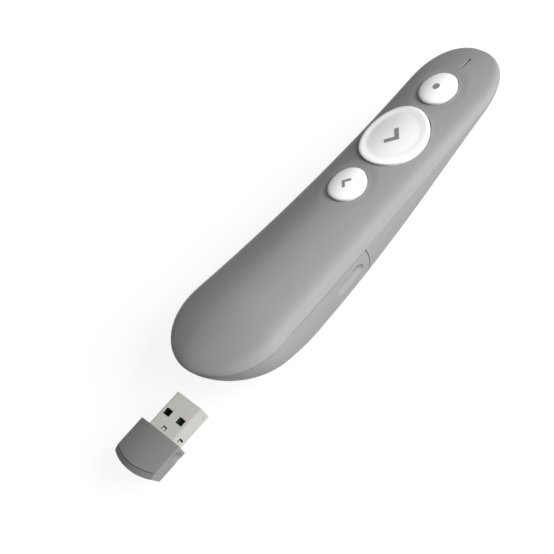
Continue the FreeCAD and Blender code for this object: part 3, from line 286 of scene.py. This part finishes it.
def grip_tool(skin, side):
    """A round-ended rod that lies along the skin and cuts a shallow finger grip into it. The skin
    is found by rays from the side."""
    ends = []
    for station in GRIP_ENDS:
        height = seam_height(along(station)) - GRIP_DROP * MM
        start = Vector((side * RAY_START * MM, along(station), height))
        place, facing, face, distance = skin.ray_cast(start, Vector((-side, 0, 0)))
        ends.append(place + facing * (GRIP_ROUND - GRIP_DEPTH) * MM)
    axis = ends[1] - ends[0]
    rod = bmesh.new()
    bmesh.ops.create_uvsphere(rod, u_segments=40, v_segments=21, radius=GRIP_ROUND * MM)
    for vert in rod.verts:
        vert.co.z += math.copysign(axis.length / 2, vert.co.z)
    turned = Matrix.LocRotScale((ends[0] + ends[1]) / 2, axis.to_track_quat("Z", "X"), None)
    bmesh.ops.transform(rod, verts=rod.verts, matrix=turned)
    return rod


belly_abs = moulded("moulded_belly_abs", "#828281", 0.45, 0.30, 0.002)
work = eased(merged("front_lower_housing"))
front_lower = piece_of(work, "front_lower_shell", belly_abs, "handset", "front_lower_housing")
work = eased(merged("battery_door"))
skin = BVHTree.FromBMesh(work)
work = carved(work, grip_tool(skin, 1), grip_tool(skin, -1))
door = piece_of(work, "battery_door_shell", belly_abs, "battery_door", "battery_door")

# Keys: three caps of pale grey ABS with a satin gloss. Each is one moulding with a skirt, a flange
# under the housing and a stem that presses its switch. The small ones are domed, the large one dished.

FLANGE_THICKNESS = 0.6
FLANGE_WIDTH = 0.7
SKIRT_WALL = 1.0
STEM_RADIUS = 1.6
STEM_FOOT = 19.427
TOP_BAND = 0.5
KEY_WHITE = "#e8e8e7"
KEY_ROUGHNESS = 0.3
DISH_PAINTED_SHADE_GREY = "#dededd"
DISH_ROUGHNESS = 0.5
DISH_EDGE = (8.9, 8.4)
# Each key's top, as distances from its middle with heights over the plain housing.
TOPS = {
    "back": [(0, 1.38), (1.5, 1.36), (3, 1.29), (4.2, 1.18), (5, 1.06), (5.45, 0.96), (5.8, 0.8),
             (6, 0.55), (6.05, 0.35), (5.9, 0.0)],
    "laser": [(0, 1.55), (1.5, 1.52), (3, 1.42), (4.2, 1.27), (5, 1.12), (5.45, 0.99), (5.8, 0.8),
              (6, 0.55), (6.05, 0.35), (5.9, 0.0)],
    "next": [(0, 0.55), (2, 0.55), (4, 0.55), (6, 0.56), (7.6, 0.57), (8.2, 0.59), (8.6, 0.64),
             (9, 0.72), (9.6, 0.85), (10.1, 0.95), (10.4, 0.99), (10.7, 0.95), (10.92, 0.82),
             (11.03, 0.6), (11.02, 0.35), (10.9, 0.0)],
}


def height_on(profile, away):
    """Height of a key's top over the plain housing at a distance from its middle, in millimetres."""
    for (near, low), (far, high) in zip(profile, profile[1:]):
        if away <= far:
            return low + (high - low) * (away - near) / (far - near)
    return profile[-1][1]


def cap(name, radius, flange, ceiling, material):
    """A key: its half section is spun about the key's axis, then its top is laid over the crown.
    The flange's underside and the ceiling inside are heights over the table."""
    middle = along(KEY_STATIONS[name])
    crown = crown_height(0, middle) / MM
    ledge, rim, wall = flange + FLANGE_THICKNESS, radius + FLANGE_WIDTH, radius - SKIRT_WALL
    half = [(away, crown + height) for away, height in TOPS[name]]
    half += [(radius, ledge), (rim, ledge), (rim, flange), (wall, flange), (wall, ceiling),
             (STEM_RADIUS, ceiling), (STEM_RADIUS, STEM_FOOT), (0, STEM_FOOT)]
    work = bmesh.new()
    verts = [work.verts.new((away * MM, 0, height * MM)) for away, height in half]
    edges = [work.edges.new(pair) for pair in zip(verts, verts[1:])]
    bmesh.ops.spin(work, geom=verts + edges, cent=(0, 0, 0), axis=(0, 0, 1), angle=2 * math.pi,
                   steps=128, use_merge=True)
    bmesh.ops.remove_doubles(work, verts=work.verts, dist=0.001 * MM)
    bmesh.ops.recalc_face_normals(work, faces=work.faces)
    bmesh.ops.translate(work, verts=work.verts, vec=(0, middle, 0))
    for vert in work.verts:
        if vert.co.z > (crown - TOP_BAND) * MM:
            vert.co.z += crown_height(vert.co.x, vert.co.y) - crown * MM
    key = piece_of(work, name + "_cap", material, name + "_key_body", name + "_key")


key_abs = moulded("moulded_key_abs", KEY_WHITE, KEY_ROUGHNESS, 0.45, 0.001, sheen=0.7)
cap("back", radius=6, flange=19.67, ceiling=21.78, material=key_abs)
cap("laser", radius=6, flange=18.69, ceiling=20.70, material=key_abs)

# The large key's dish has a duller satin face than its polished rim, and its grey is a little darker as
# painted shade for the shade that falls in the dish.
painted_shade_dished_abs = moulded("satin_faced_key_abs", KEY_WHITE, KEY_ROUGHNESS, 0.45, 0.001, sheen=0.7)
place = add(painted_shade_dished_abs, "TexCoord")
centred = add(painted_shade_dished_abs, "Mapping", Vector=(place, "Object"), Scale=(1, 1, 0),
              Location=(0, -along(KEY_STATIONS["next"]), 0))
away = add(painted_shade_dished_abs, "VectorMath", operation="LENGTH", Vector=(centred, "Vector"))
dish = add(painted_shade_dished_abs, "MapRange", Value=(away, "Value"), From_Min=DISH_EDGE[0] * MM,
           From_Max=DISH_EDGE[1] * MM)
# The darker grey inside the dish's edge is painted shade; the rougher face is the key's real finish.
tint = add(painted_shade_dished_abs, "Mix", data_type="RGBA", Factor_Float=(dish, "Result"),
           A_Color=linear(KEY_WHITE), B_Color=linear(DISH_PAINTED_SHADE_GREY))
satin = add(painted_shade_dished_abs, "MapRange", Value=(dish, "Result"), To_Min=KEY_ROUGHNESS, To_Max=DISH_ROUGHNESS)
shader = painted_shade_dished_abs.node_tree.nodes["Principled BSDF"]
painted_shade_dished_abs.node_tree.links.new(tint.outputs[2], shader.inputs["Base Color"])
painted_shade_dished_abs.node_tree.links.new(satin.outputs["Result"], shader.inputs["Roughness"])
cap("next", radius=11, flange=18.12, ceiling=19.80, material=painted_shade_dished_abs)

# Symbols: an arrow on the back and next keys and a dot on the laser key, in mid grey ink. They are
# pad-printed, so they follow each cap's face and stand a hair over it.

INK_PROUD = 0.02
INK_ROOT = 0.1
DOT_RADIUS = 1.15
DOT_SHIFT = (0.3, -0.3)


def printed(work, key, figure):
    """Lays a flat figure on a key's top, as thick as ink, and makes it a piece."""
    bmesh.ops.subdivide_edges(work, edges=work.edges, cuts=5, use_grid_fill=True)
    made = bmesh.ops.extrude_face_region(work, geom=work.faces[:])
    upper = {item for item in made["geom"] if isinstance(item, bmesh.types.BMVert)}
    for vert in work.verts:
        away = math.hypot(vert.co.x, vert.co.y - along(KEY_STATIONS[key])) / MM
        face = crown_height(vert.co.x, vert.co.y) + height_on(TOPS[key], away) * MM
        vert.co.z = face + (INK_PROUD if vert in upper else -INK_ROOT) * MM
    bmesh.ops.recalc_face_normals(work, faces=work.faces)
    mark = piece_of(work, f"{key}_{figure}", grey_ink, key + "_key_body", key + "_symbol")


def arrow(key, span, stroke, direction, shift):
    """A chevron that points across the presenter, as two bars that meet at its tip."""
    half, edge = span / 2, stroke / math.sqrt(8)
    tip, crook = (half / 2 + 2 * edge, 0), (half / 2 - 2 * edge, 0)
    work = bmesh.new()
    ends = []
    for side in (1, -1):
        ends.append([(-half / 2 + edge, side * (half + edge)), (-half / 2 - edge, side * (half - edge))])
    spots = {}
    for spot in (tip, crook, *ends[0], *ends[1]):
        across, forward = direction * spot[0] * MM, spot[1] * MM + along(KEY_STATIONS[key])
        spots[spot] = work.verts.new((across, forward, 0))
    bmesh.ops.translate(work, verts=work.verts, vec=Vector(shift) * MM)
    for outer, inner in ends:
        work.faces.new([spots[tip], spots[outer], spots[inner], spots[crook]])
    printed(work, key, "arrow")


grey_ink = moulded("pad_printed_grey_ink", "#787877", 0.5, 0.2, 0.001)
arrow("next", span=5.6, stroke=1.45, direction=1, shift=(0.6, -0.4, 0))
arrow("back", span=3.4, stroke=0.95, direction=-1, shift=(0.2, -0.2, 0))
work = bmesh.new()
dot_place = (DOT_SHIFT[0] * MM, along(KEY_STATIONS["laser"]) + DOT_SHIFT[1] * MM, 0)
bmesh.ops.create_circle(work, cap_ends=True, cap_tris=True, segments=48, radius=DOT_RADIUS * MM,
                        matrix=Matrix.Translation(dot_place))
printed(work, "laser", "dot")

# Beam mark: a small inlay in the upper housing by the nose that shows where the laser leaves. Its
# dot is dark, and its line fades back into the grey of the housing.

MARK_SETBACK = 5.1
MARK_DARK = "#303030"
DOT_EDGE = (0.5, 0.36)
LINE_EDGE = (0.26, 0.14)
LINE_FADE = (-2.9, -0.3)
LINE_STRENGTH = 0.6

mark_inlay = blank("moulded_mark_inlay")
place = add(mark_inlay, "TexCoord")
centred = add(mark_inlay, "Mapping", Vector=(place, "Object"), Scale=(1, 1, 0),
              Location=(0, -along(BODY_LENGTH - MARK_SETBACK), 0))
away = add(mark_inlay, "VectorMath", operation="LENGTH", Vector=(centred, "Vector"))
dot = add(mark_inlay, "MapRange", Value=(away, "Value"), From_Min=DOT_EDGE[0] * MM,
          From_Max=DOT_EDGE[1] * MM)
parts = add(mark_inlay, "SeparateXYZ", Vector=(centred, "Vector"))
across = add(mark_inlay, "Math", operation="ABSOLUTE", Value=(parts, "X"))
line = add(mark_inlay, "MapRange", Value=(across, "Value"), From_Min=LINE_EDGE[0] * MM,
           From_Max=LINE_EDGE[1] * MM)
fade = add(mark_inlay, "MapRange", Value=(parts, "Y"), From_Min=LINE_FADE[0] * MM,
           From_Max=LINE_FADE[1] * MM, To_Max=LINE_STRENGTH)
faded_line = add(mark_inlay, "Math", operation="MULTIPLY", Value=(line, "Result"),
                 Value_001=(fade, "Result"))
behind = add(mark_inlay, "Math", operation="LESS_THAN", Value=(parts, "Y"), Value_001=0)
trail = add(mark_inlay, "Math", operation="MULTIPLY", Value=(faded_line, "Value"),
            Value_001=(behind, "Value"))
figure = add(mark_inlay, "Math", operation="MAXIMUM", Value=(dot, "Result"), Value_001=(trail, "Value"))
tint = add(mark_inlay, "Mix", data_type="RGBA", Factor_Float=(figure, "Value"),
           A_Color=linear(HOUSING_GREY), B_Color=linear(MARK_DARK))
shader = add(mark_inlay, "BsdfPrincipled", Base_Color=(tint, 2), Roughness=HOUSING_ROUGHNESS,
             Specular_IOR_Level=HOUSING_SHEEN)
add(mark_inlay, "OutputMaterial", Surface=(shader, "BSDF"))


def dress(material, *nodes):
    """Gives CAD nodes their finish."""
    for node in nodes:
        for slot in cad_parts[node].material_slots:
            slot.material = material


dress(mark_inlay, "beam_mark")

# Laser: a brass-coloured module in the nose, with a clear lens, a small driver board behind it and
# a dark acrylic window in the lower housing.


def plated(name, colour, roughness, streak, stretch, relief=0.0015, spread=0.25):
    """Sheet, wire or turned metal: fine drawing lines streak millimetres wide, stretched along
    one axis, that vary the gloss by a share and stand in relief by relief millimetres."""
    material = blank(name)
    place = add(material, "TexCoord")
    scale = tuple(1 / length for length in stretch)
    lines = add(material, "Mapping", Vector=(place, "Object"), Scale=scale)
    wear = add(material, "TexNoise", Vector=(lines, "Vector"), Scale=1000 / streak, Detail=4.0)
    gloss = add(material, "MapRange", Value=(wear, "Fac"), From_Min=0.3, From_Max=0.7,
                To_Min=roughness * (1 - spread), To_Max=roughness * (1 + spread))
    bumps = add(material, "Bump", Height=(wear, "Fac"), Strength=1.0, Distance=relief * MM)
    shader = add(material, "BsdfPrincipled", Base_Color=linear(colour), Metallic=1.0,
                 Roughness=(gloss, "Result"), Normal=(bumps, "Normal"))
    add(material, "OutputMaterial", Surface=(shader, "BSDF"))
    return material


def clear(name, colour, roughness):
    """Clear or tinted acrylic."""
    material = blank(name)
    place = add(material, "TexCoord")
    haze = add(material, "TexNoise", Vector=(place, "Object"), Scale=1000 / 0.8)
    gloss = add(material, "MapRange", Value=(haze, "Fac"), To_Min=roughness * 0.5, To_Max=roughness * 1.5)
    shader = add(material, "BsdfPrincipled", Base_Color=linear(colour), Roughness=(gloss, "Result"),
                 IOR=1.49, Transmission_Weight=1.0)
    add(material, "OutputMaterial", Surface=(shader, "BSDF"))
    return material


turned_brass = plated("turned_brass", "#c9a961", 0.28, 0.12, (1, 1, 8))
dress(turned_brass, "laser_module")
lens_acrylic = clear("moulded_clear_acrylic", "#f4f7f8", 0.03)
dress(lens_acrylic, "laser_lens")
window_acrylic = clear("moulded_dark_acrylic", "#3a2222", 0.05)
dress(window_acrylic, "laser_window")

# Circuit boards: glass-epoxy laminate under a green solder mask, with the radio chip, a crystal can
# and a capacitor soldered on the main board.

solder_mask = blank("green_solder_mask")
place = add(solder_mask, "TexCoord")
# Copper traces show through the mask as slightly paler lines 0.3 mm wide, every 1.7 mm.
traces = add(solder_mask, "TexBrick", Vector=(place, "Object"), Scale=1000 / 6, Color1=linear("#1d5a35"),
             Color2=linear("#1d5a35"), Mortar=linear("#2f7a4a"), Mortar_Size=0.025, Brick_Width=0.9,
             Row_Height=0.28)
weave = add(solder_mask, "TexNoise", Vector=(place, "Object"), Scale=1000 / 0.5)
relief = add(solder_mask, "Bump", Height=(weave, "Fac"), Strength=1.0, Distance=0.003 * MM)
shader = add(solder_mask, "BsdfPrincipled", Base_Color=(traces, "Color"), Roughness=0.32, IOR=1.5,
             Normal=(relief, "Normal"))
add(solder_mask, "OutputMaterial", Surface=(shader, "BSDF"))
dress(solder_mask, "main_board", "laser_board", "receiver_board")
chip_epoxy = moulded("moulded_chip_epoxy", "#1b1b1c", 0.5, 0.2, 0.003)
dress(chip_epoxy, "radio_chip", "receiver_chip")
can_steel = plated("drawn_can_steel", "#bdbcb8", 0.3, 0.15, (6, 1, 1))
dress(can_steel, "crystal")
ceramic = moulded("fired_capacitor_ceramic", "#a08a6a", 0.55, 0.25, 0.004)
dress(ceramic, "capacitor")

# Switches: black nylon housings on the board, each with a plunger that its key's stem presses.

switch_nylon = moulded("moulded_black_nylon", "#1f1f20", 0.48, 0.25, 0.004)
dress(switch_nylon, "back_switch", "next_switch", "laser_switch")
plunger_nylon = moulded("moulded_plunger_nylon", "#c9c3b4", 0.42, 0.25, 0.003)
dress(plunger_nylon, "back_plunger", "next_plunger", "laser_plunger")

# Battery cradle, cell and contacts: the cradle is black ABS, the cell a plated can in a shrink
# sleeve, and the contacts and the coil are nickel-plated spring steel.

SLEEVE_DARK_SHARE = 0.74

cradle_abs = moulded("moulded_black_abs", "#262628", 0.45, 0.30, 0.004)
dress(cradle_abs, "battery_cradle")
dress(can_steel, "cell_can")
sleeve = blank("shrunk_cell_sleeve")
place = add(sleeve, "TexCoord")
parts = add(sleeve, "SeparateXYZ", Vector=(place, "Object"))
low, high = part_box("cell_jacket")
band = add(sleeve, "Math", operation="GREATER_THAN", Value=(parts, "Y"),
           Value_001=low.y + (high.y - low.y) * SLEEVE_DARK_SHARE)
tint = add(sleeve, "Mix", data_type="RGBA", Factor_Float=(band, "Value"), A_Color=linear("#2c2d30"),
           B_Color=linear("#b9773c"))
film = add(sleeve, "TexNoise", Vector=(place, "Object"), Scale=1000 / 2.5)
relief = add(sleeve, "Bump", Height=(film, "Fac"), Strength=1.0, Distance=0.01 * MM)
shader = add(sleeve, "BsdfPrincipled", Base_Color=(tint, 2), Roughness=0.28, Normal=(relief, "Normal"),
             Coat_Weight=0.3)
add(sleeve, "OutputMaterial", Surface=(shader, "BSDF"))
dress(sleeve, "cell_jacket")
spring_steel = plated("nickel_plated_spring_steel", "#c6c5c0", 0.25, 0.1, (1, 1, 5))
dress(spring_steel, "contact_spring", "rear_contact", "front_contact")

# Screws: eight small zinc-plated steel screws. Two hold the door's bulkhead, and six hold the main
# board and the lower housing.

screw_steel = plated("zinc_plated_steel", "#a9abad", 0.35, 0.12, (1, 1, 1))
for place in ("door", "rear", "mid", "front"):
    dress(screw_steel, place + "_screw_right", place + "_screw_left")

# Receiver body: a stubby dark grey ABS moulding round the plug's root. Its top is slightly crowned,
# a fine groove parts it from a sloping band along the bowed end, and a scoop in each side helps to
# pull it out.

# The plug stands out of the body's front face, and PLUG_Z is the height of its middle.
FACE_Y = along(-17)
PLUG_Z = (SEAM_HEIGHT - 7.6) * MM
GROOVE_CENTRE = Vector((0, FACE_Y + 9.4 * MM, PLUG_Z))
GROOVE_RADIUS = 21.5
GROOVE_WIDTH = 0.18
GROOVE_FLOOR = 2.35
GROOVE_TOP = 5
GROOVE_ARC = 60
RECEIVER_CORNER = 14
MOULD_RADIUS = 0.22

receiver_abs = moulded("moulded_dark_grey_abs", "#737372", 0.42, 0.30, 0.002, sheen=0.6)
work = merged("receiver_body")
bmesh.ops.dissolve_limit(work, angle_limit=math.radians(1), verts=work.verts, edges=work.edges)
groove = bmesh.new()
corners = []
for across, height in ((1, GROOVE_FLOOR), (-1, GROOVE_FLOOR), (-1, GROOVE_TOP), (1, GROOVE_TOP)):
    from_centre = Vector((0, across * GROOVE_WIDTH / 2 - GROOVE_RADIUS, height)) * MM
    corners.append(groove.verts.new(GROOVE_CENTRE + from_centre))
section = groove.faces.new(corners)
bmesh.ops.rotate(groove, verts=groove.verts, cent=GROOVE_CENTRE,
                 matrix=Matrix.Rotation(math.radians(-GROOVE_ARC / 2), 3, "Z"))
bmesh.ops.spin(groove, geom=[section], cent=GROOVE_CENTRE, axis=(0, 0, 1), angle=math.radians(GROOVE_ARC),
               steps=48)
bmesh.ops.recalc_face_normals(groove, faces=groove.faces)
work = carved(work, groove)
receiver = piece_of(work, "receiver_shell", receiver_abs, "receiver", "receiver_body",
                    corner=RECEIVER_CORNER)
rounding = receiver.modifiers.new("mould_radius", "BEVEL")
rounding.width = MOULD_RADIUS * MM
rounding.segments = 3
rounding.limit_method = "ANGLE"
rounding.angle_limit = math.radians(RECEIVER_CORNER)

# Plug shell: a folded tube of nickel-plated sheet steel with two latch windows above and below, a
# lanced tab in its top, a lanced tab and a locating dimple in each side and a seam underneath.

SHEET_THICKNESS = 0.3
SHELL_ROUND = 0.55
SHELL_CORNER = 25
SEAM_GAP = 0.08
# Cuts, each as its middle across, ahead of the body's face and up from the plug's middle, and its size.
WINDOW = ((3.1, 5.7, 0), (2.75, 2.15, 9))
SIDE_TAB_END = ((6, 1.9, 0), (2, 0.6, 1.7))
SIDE_TAB_EDGE = ((6, 1.3, 0.75), (2, 1.2, 0.3))
TOP_TAB_EDGE = ((0.75, 1.3, 2.25), (0.3, 1.1, 2))
TOP_TAB_END = ((0, 1.85, 2.25), (1.7, 0.4, 2))
DIMPLE = ((6.2, 10.8, -0.4), (0.5, 0.6, 0.5))


def at_plug(place, side=1):
    """A place given across, ahead of the receiver's face and up from the plug's middle."""
    across, ahead, up = place
    return Vector((side * across * MM, FACE_Y + ahead * MM, PLUG_Z + up * MM))


def slab(middle, size, work=None):
    """A plain block, on its own or beside what a bmesh already holds."""
    if work is None:
        work = bmesh.new()
    bmesh.ops.create_cube(work, size=1, matrix=Matrix.LocRotScale(middle, None, Vector(size) * MM))
    return work


plug_nickel = plated("nickel_plated_sheet", "#cfcdc7", 0.28, 0.25, (1, 10, 1), relief=0.0002, spread=0.1)
low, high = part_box("plug_shell")
middle, size = (low + high) / 2, (high - low) / MM
work = slab(middle, size)
long_edges = [edge for edge in work.edges if abs(edge.verts[0].co.y - edge.verts[1].co.y) > 5 * MM]
bmesh.ops.bevel(work, geom=long_edges, offset=SHELL_ROUND * MM, offset_type="OFFSET", segments=5,
                profile=0.5, affect="EDGES", material=-1)
tools = [slab(middle, (size.x - 2 * SHEET_THICKNESS, size.y + 2, size.z - 2 * SHEET_THICKNESS))]
for side in (1, -1):
    for place, block in (WINDOW, SIDE_TAB_END, SIDE_TAB_EDGE, TOP_TAB_EDGE):
        tools.append(slab(at_plug(place, side), block))
    place, radii = DIMPLE
    dimple = bmesh.new()
    bmesh.ops.create_uvsphere(dimple, u_segments=32, v_segments=16, radius=1,
                              matrix=Matrix.LocRotScale(at_plug(place, side), None, Vector(radii) * MM))
    tools.append(dimple)
place, block = TOP_TAB_END
tools.append(slab(at_plug(place), block))
tools.append(slab(Vector((0, middle.y, low.z)), (SEAM_GAP, size.y + 2, 1)))
work = carved(work, *tools)
shell = piece_of(work, "plug_sleeve", plug_nickel, "receiver", "plug_shell", corner=SHELL_CORNER)

# Plug inside: a black nylon tongue with four gold-plated fingers on the end of the receiver's board.
# Green lacquer covers the fingers' roots. A black liner along the board's left edge is painted shade: it
# stands for the shadow inside the plug, so that one window shows green and the other black.

# Blocks, each as its middle and size in the same terms as the cuts in the shell.
SHADE_LINER_FLOOR = ((-4.85, 5.6, -0.27), (1.7, 4.8, 0.16))
SHADE_LINER_WALL = ((-5.58, 5.6, 0.8), (0.2, 4.8, 2.4))
LACQUER = ((2.2, 5.9, -0.19), (6, 4.2, 0.05))


def softened(work, radius):
    """A block with its edges broken."""
    bmesh.ops.bevel(work, geom=work.edges[:], offset=radius * MM, offset_type="OFFSET", segments=1,
                    profile=0.5, affect="EDGES", material=-1)
    return work


dress(switch_nylon, "plug_tongue")
gold = plated("gold_plated_bronze", "#d9b45f", 0.25, 0.1, (1, 6, 1))
for number in range(1, 5):
    dress(gold, f"contact_finger_{number}")
# A black liner inside the left window, painted shade for the shadow in the plug.
shade_liner = bmesh.new()
for place, block in (SHADE_LINER_FLOOR, SHADE_LINER_WALL):
    slab(at_plug(place), block, shade_liner)
piece_of(softened(shade_liner, 0.03), "plug_lining", switch_nylon, "receiver")
place, block = LACQUER
lacquer = slab(at_plug(place), block)
piece_of(softened(lacquer, 0.02), "finger_root_lacquer", solder_mask, "receiver")

# Table and studio: a white sheet of paper, pale air all round and one large soft lamp to the right.
# The paper shows as plain white and keeps a soft shadow under the presenter. A long black card on
# the left shows only as a dark reflection in the presenter's left side.

PAPER_DROP = 0.1
CARD_PLACE = (-1.2, 0, 0.52)
CARD_SIZE = (1.04, 5, 1, 1)
LAMP_PLACE = Vector((0.9, 0.45, 0.45))
LAMP_SIZE = 0.8
LAMP_POWER = 26
AIR_LEVEL = 0.3
SHOWING_RAYS = ("Is Camera Ray", "Is Glossy Ray", "Is Transmission Ray")


def shown_to(owner, kinds):
    """1 for the rays of these kinds, and 0 for the others."""
    rays = add(owner, "LightPath")
    value = (rays, kinds[0])
    for kind in kinds[1:]:
        either = add(owner, "Math", operation="MAXIMUM", Value=value, Value_001=(rays, kind))
        value = (either, "Value")
    return value


def sheet(name, size, place, material):
    """A flat sheet of the studio, size metres from its middle to each side before it is placed."""
    work = bmesh.new()
    bmesh.ops.create_grid(work, x_segments=1, y_segments=1, size=size, matrix=place)
    mesh = bpy.data.meshes.new(name)
    work.to_mesh(mesh)
    work.free()
    mesh.materials.append(material)
    flat = bpy.data.objects.new(name, mesh)
    bpy.context.collection.objects.link(flat)
    return flat


paper = blank("white_paper")
matte = add(paper, "BsdfDiffuse", Color=linear("#7c7c7c"))
glow = add(paper, "Emission", Strength=shown_to(paper, SHOWING_RAYS), Color=linear("#ededed"))
both = add(paper, "AddShader", Shader=(matte, "BSDF"), Shader_001=(glow, "Emission"))
add(paper, "OutputMaterial", Surface=(both, "Shader"))
table = sheet("table_paper", 3.0, Matrix.Translation((0, 0, -PAPER_DROP * MM)), paper)

studio = bpy.data.worlds.new("studio")
bpy.context.scene.world = studio
studio.use_nodes = True
studio.node_tree.nodes.clear()
level = add(studio, "MapRange", Value=shown_to(studio, SHOWING_RAYS), To_Min=AIR_LEVEL, To_Max=1.0)
air = add(studio, "Background", Color=linear("#ffffff"), Strength=(level, "Result"))
add(studio, "OutputWorld", Surface=(air, "Background"))

black_card = moulded("black_card", "#141414", 0.8, 1.0, 0.001, sheen=0.2)
upright = Matrix.Rotation(math.radians(90), 4, "Y")
card_place = Matrix.Translation(CARD_PLACE) @ upright @ Matrix.Diagonal(CARD_SIZE)
left_card = sheet("left_card", 0.5, card_place, black_card)
left_card.visible_camera = False
left_card.visible_diffuse = False
left_card.visible_shadow = False

light = bpy.data.lights.new("right_lamp", "AREA")
light.size = LAMP_SIZE
light.energy = LAMP_POWER
lamp = bpy.data.objects.new("right_lamp", light)
lamp.location = LAMP_PLACE
lamp.rotation_euler = (-LAMP_PLACE).to_track_quat("-Z", "Y").to_euler()
lamp.visible_glossy = False
bpy.context.collection.objects.link(lamp)

# Camera: it stands to the right of the tail, looks down on the presenter and is rolled, so that the
# presenter runs up to the right and the receiver lies at the lower left.

SENSOR_WIDTH = 36
FOCAL_LENGTH = 97.41
CAMERA_PLACE = (0.29549, -0.08918, 0.31572)
CAMERA_TURN = ((0.61579, -0.37716, 0.69178), (0.66031, 0.72605, -0.19194), (-0.42987, 0.57498, 0.69613))

camera = bpy.data.objects.new("camera", bpy.data.cameras.new("camera"))
camera.data.sensor_width = SENSOR_WIDTH
camera.data.lens = FOCAL_LENGTH
camera.data.clip_start = 0.01
camera.matrix_world = Matrix.Translation(CAMERA_PLACE) @ Matrix(CAMERA_TURN).to_4x4()
bpy.context.collection.objects.link(camera)
bpy.context.scene.camera = camera
bpy.context.scene.view_settings.view_transform = "Standard"
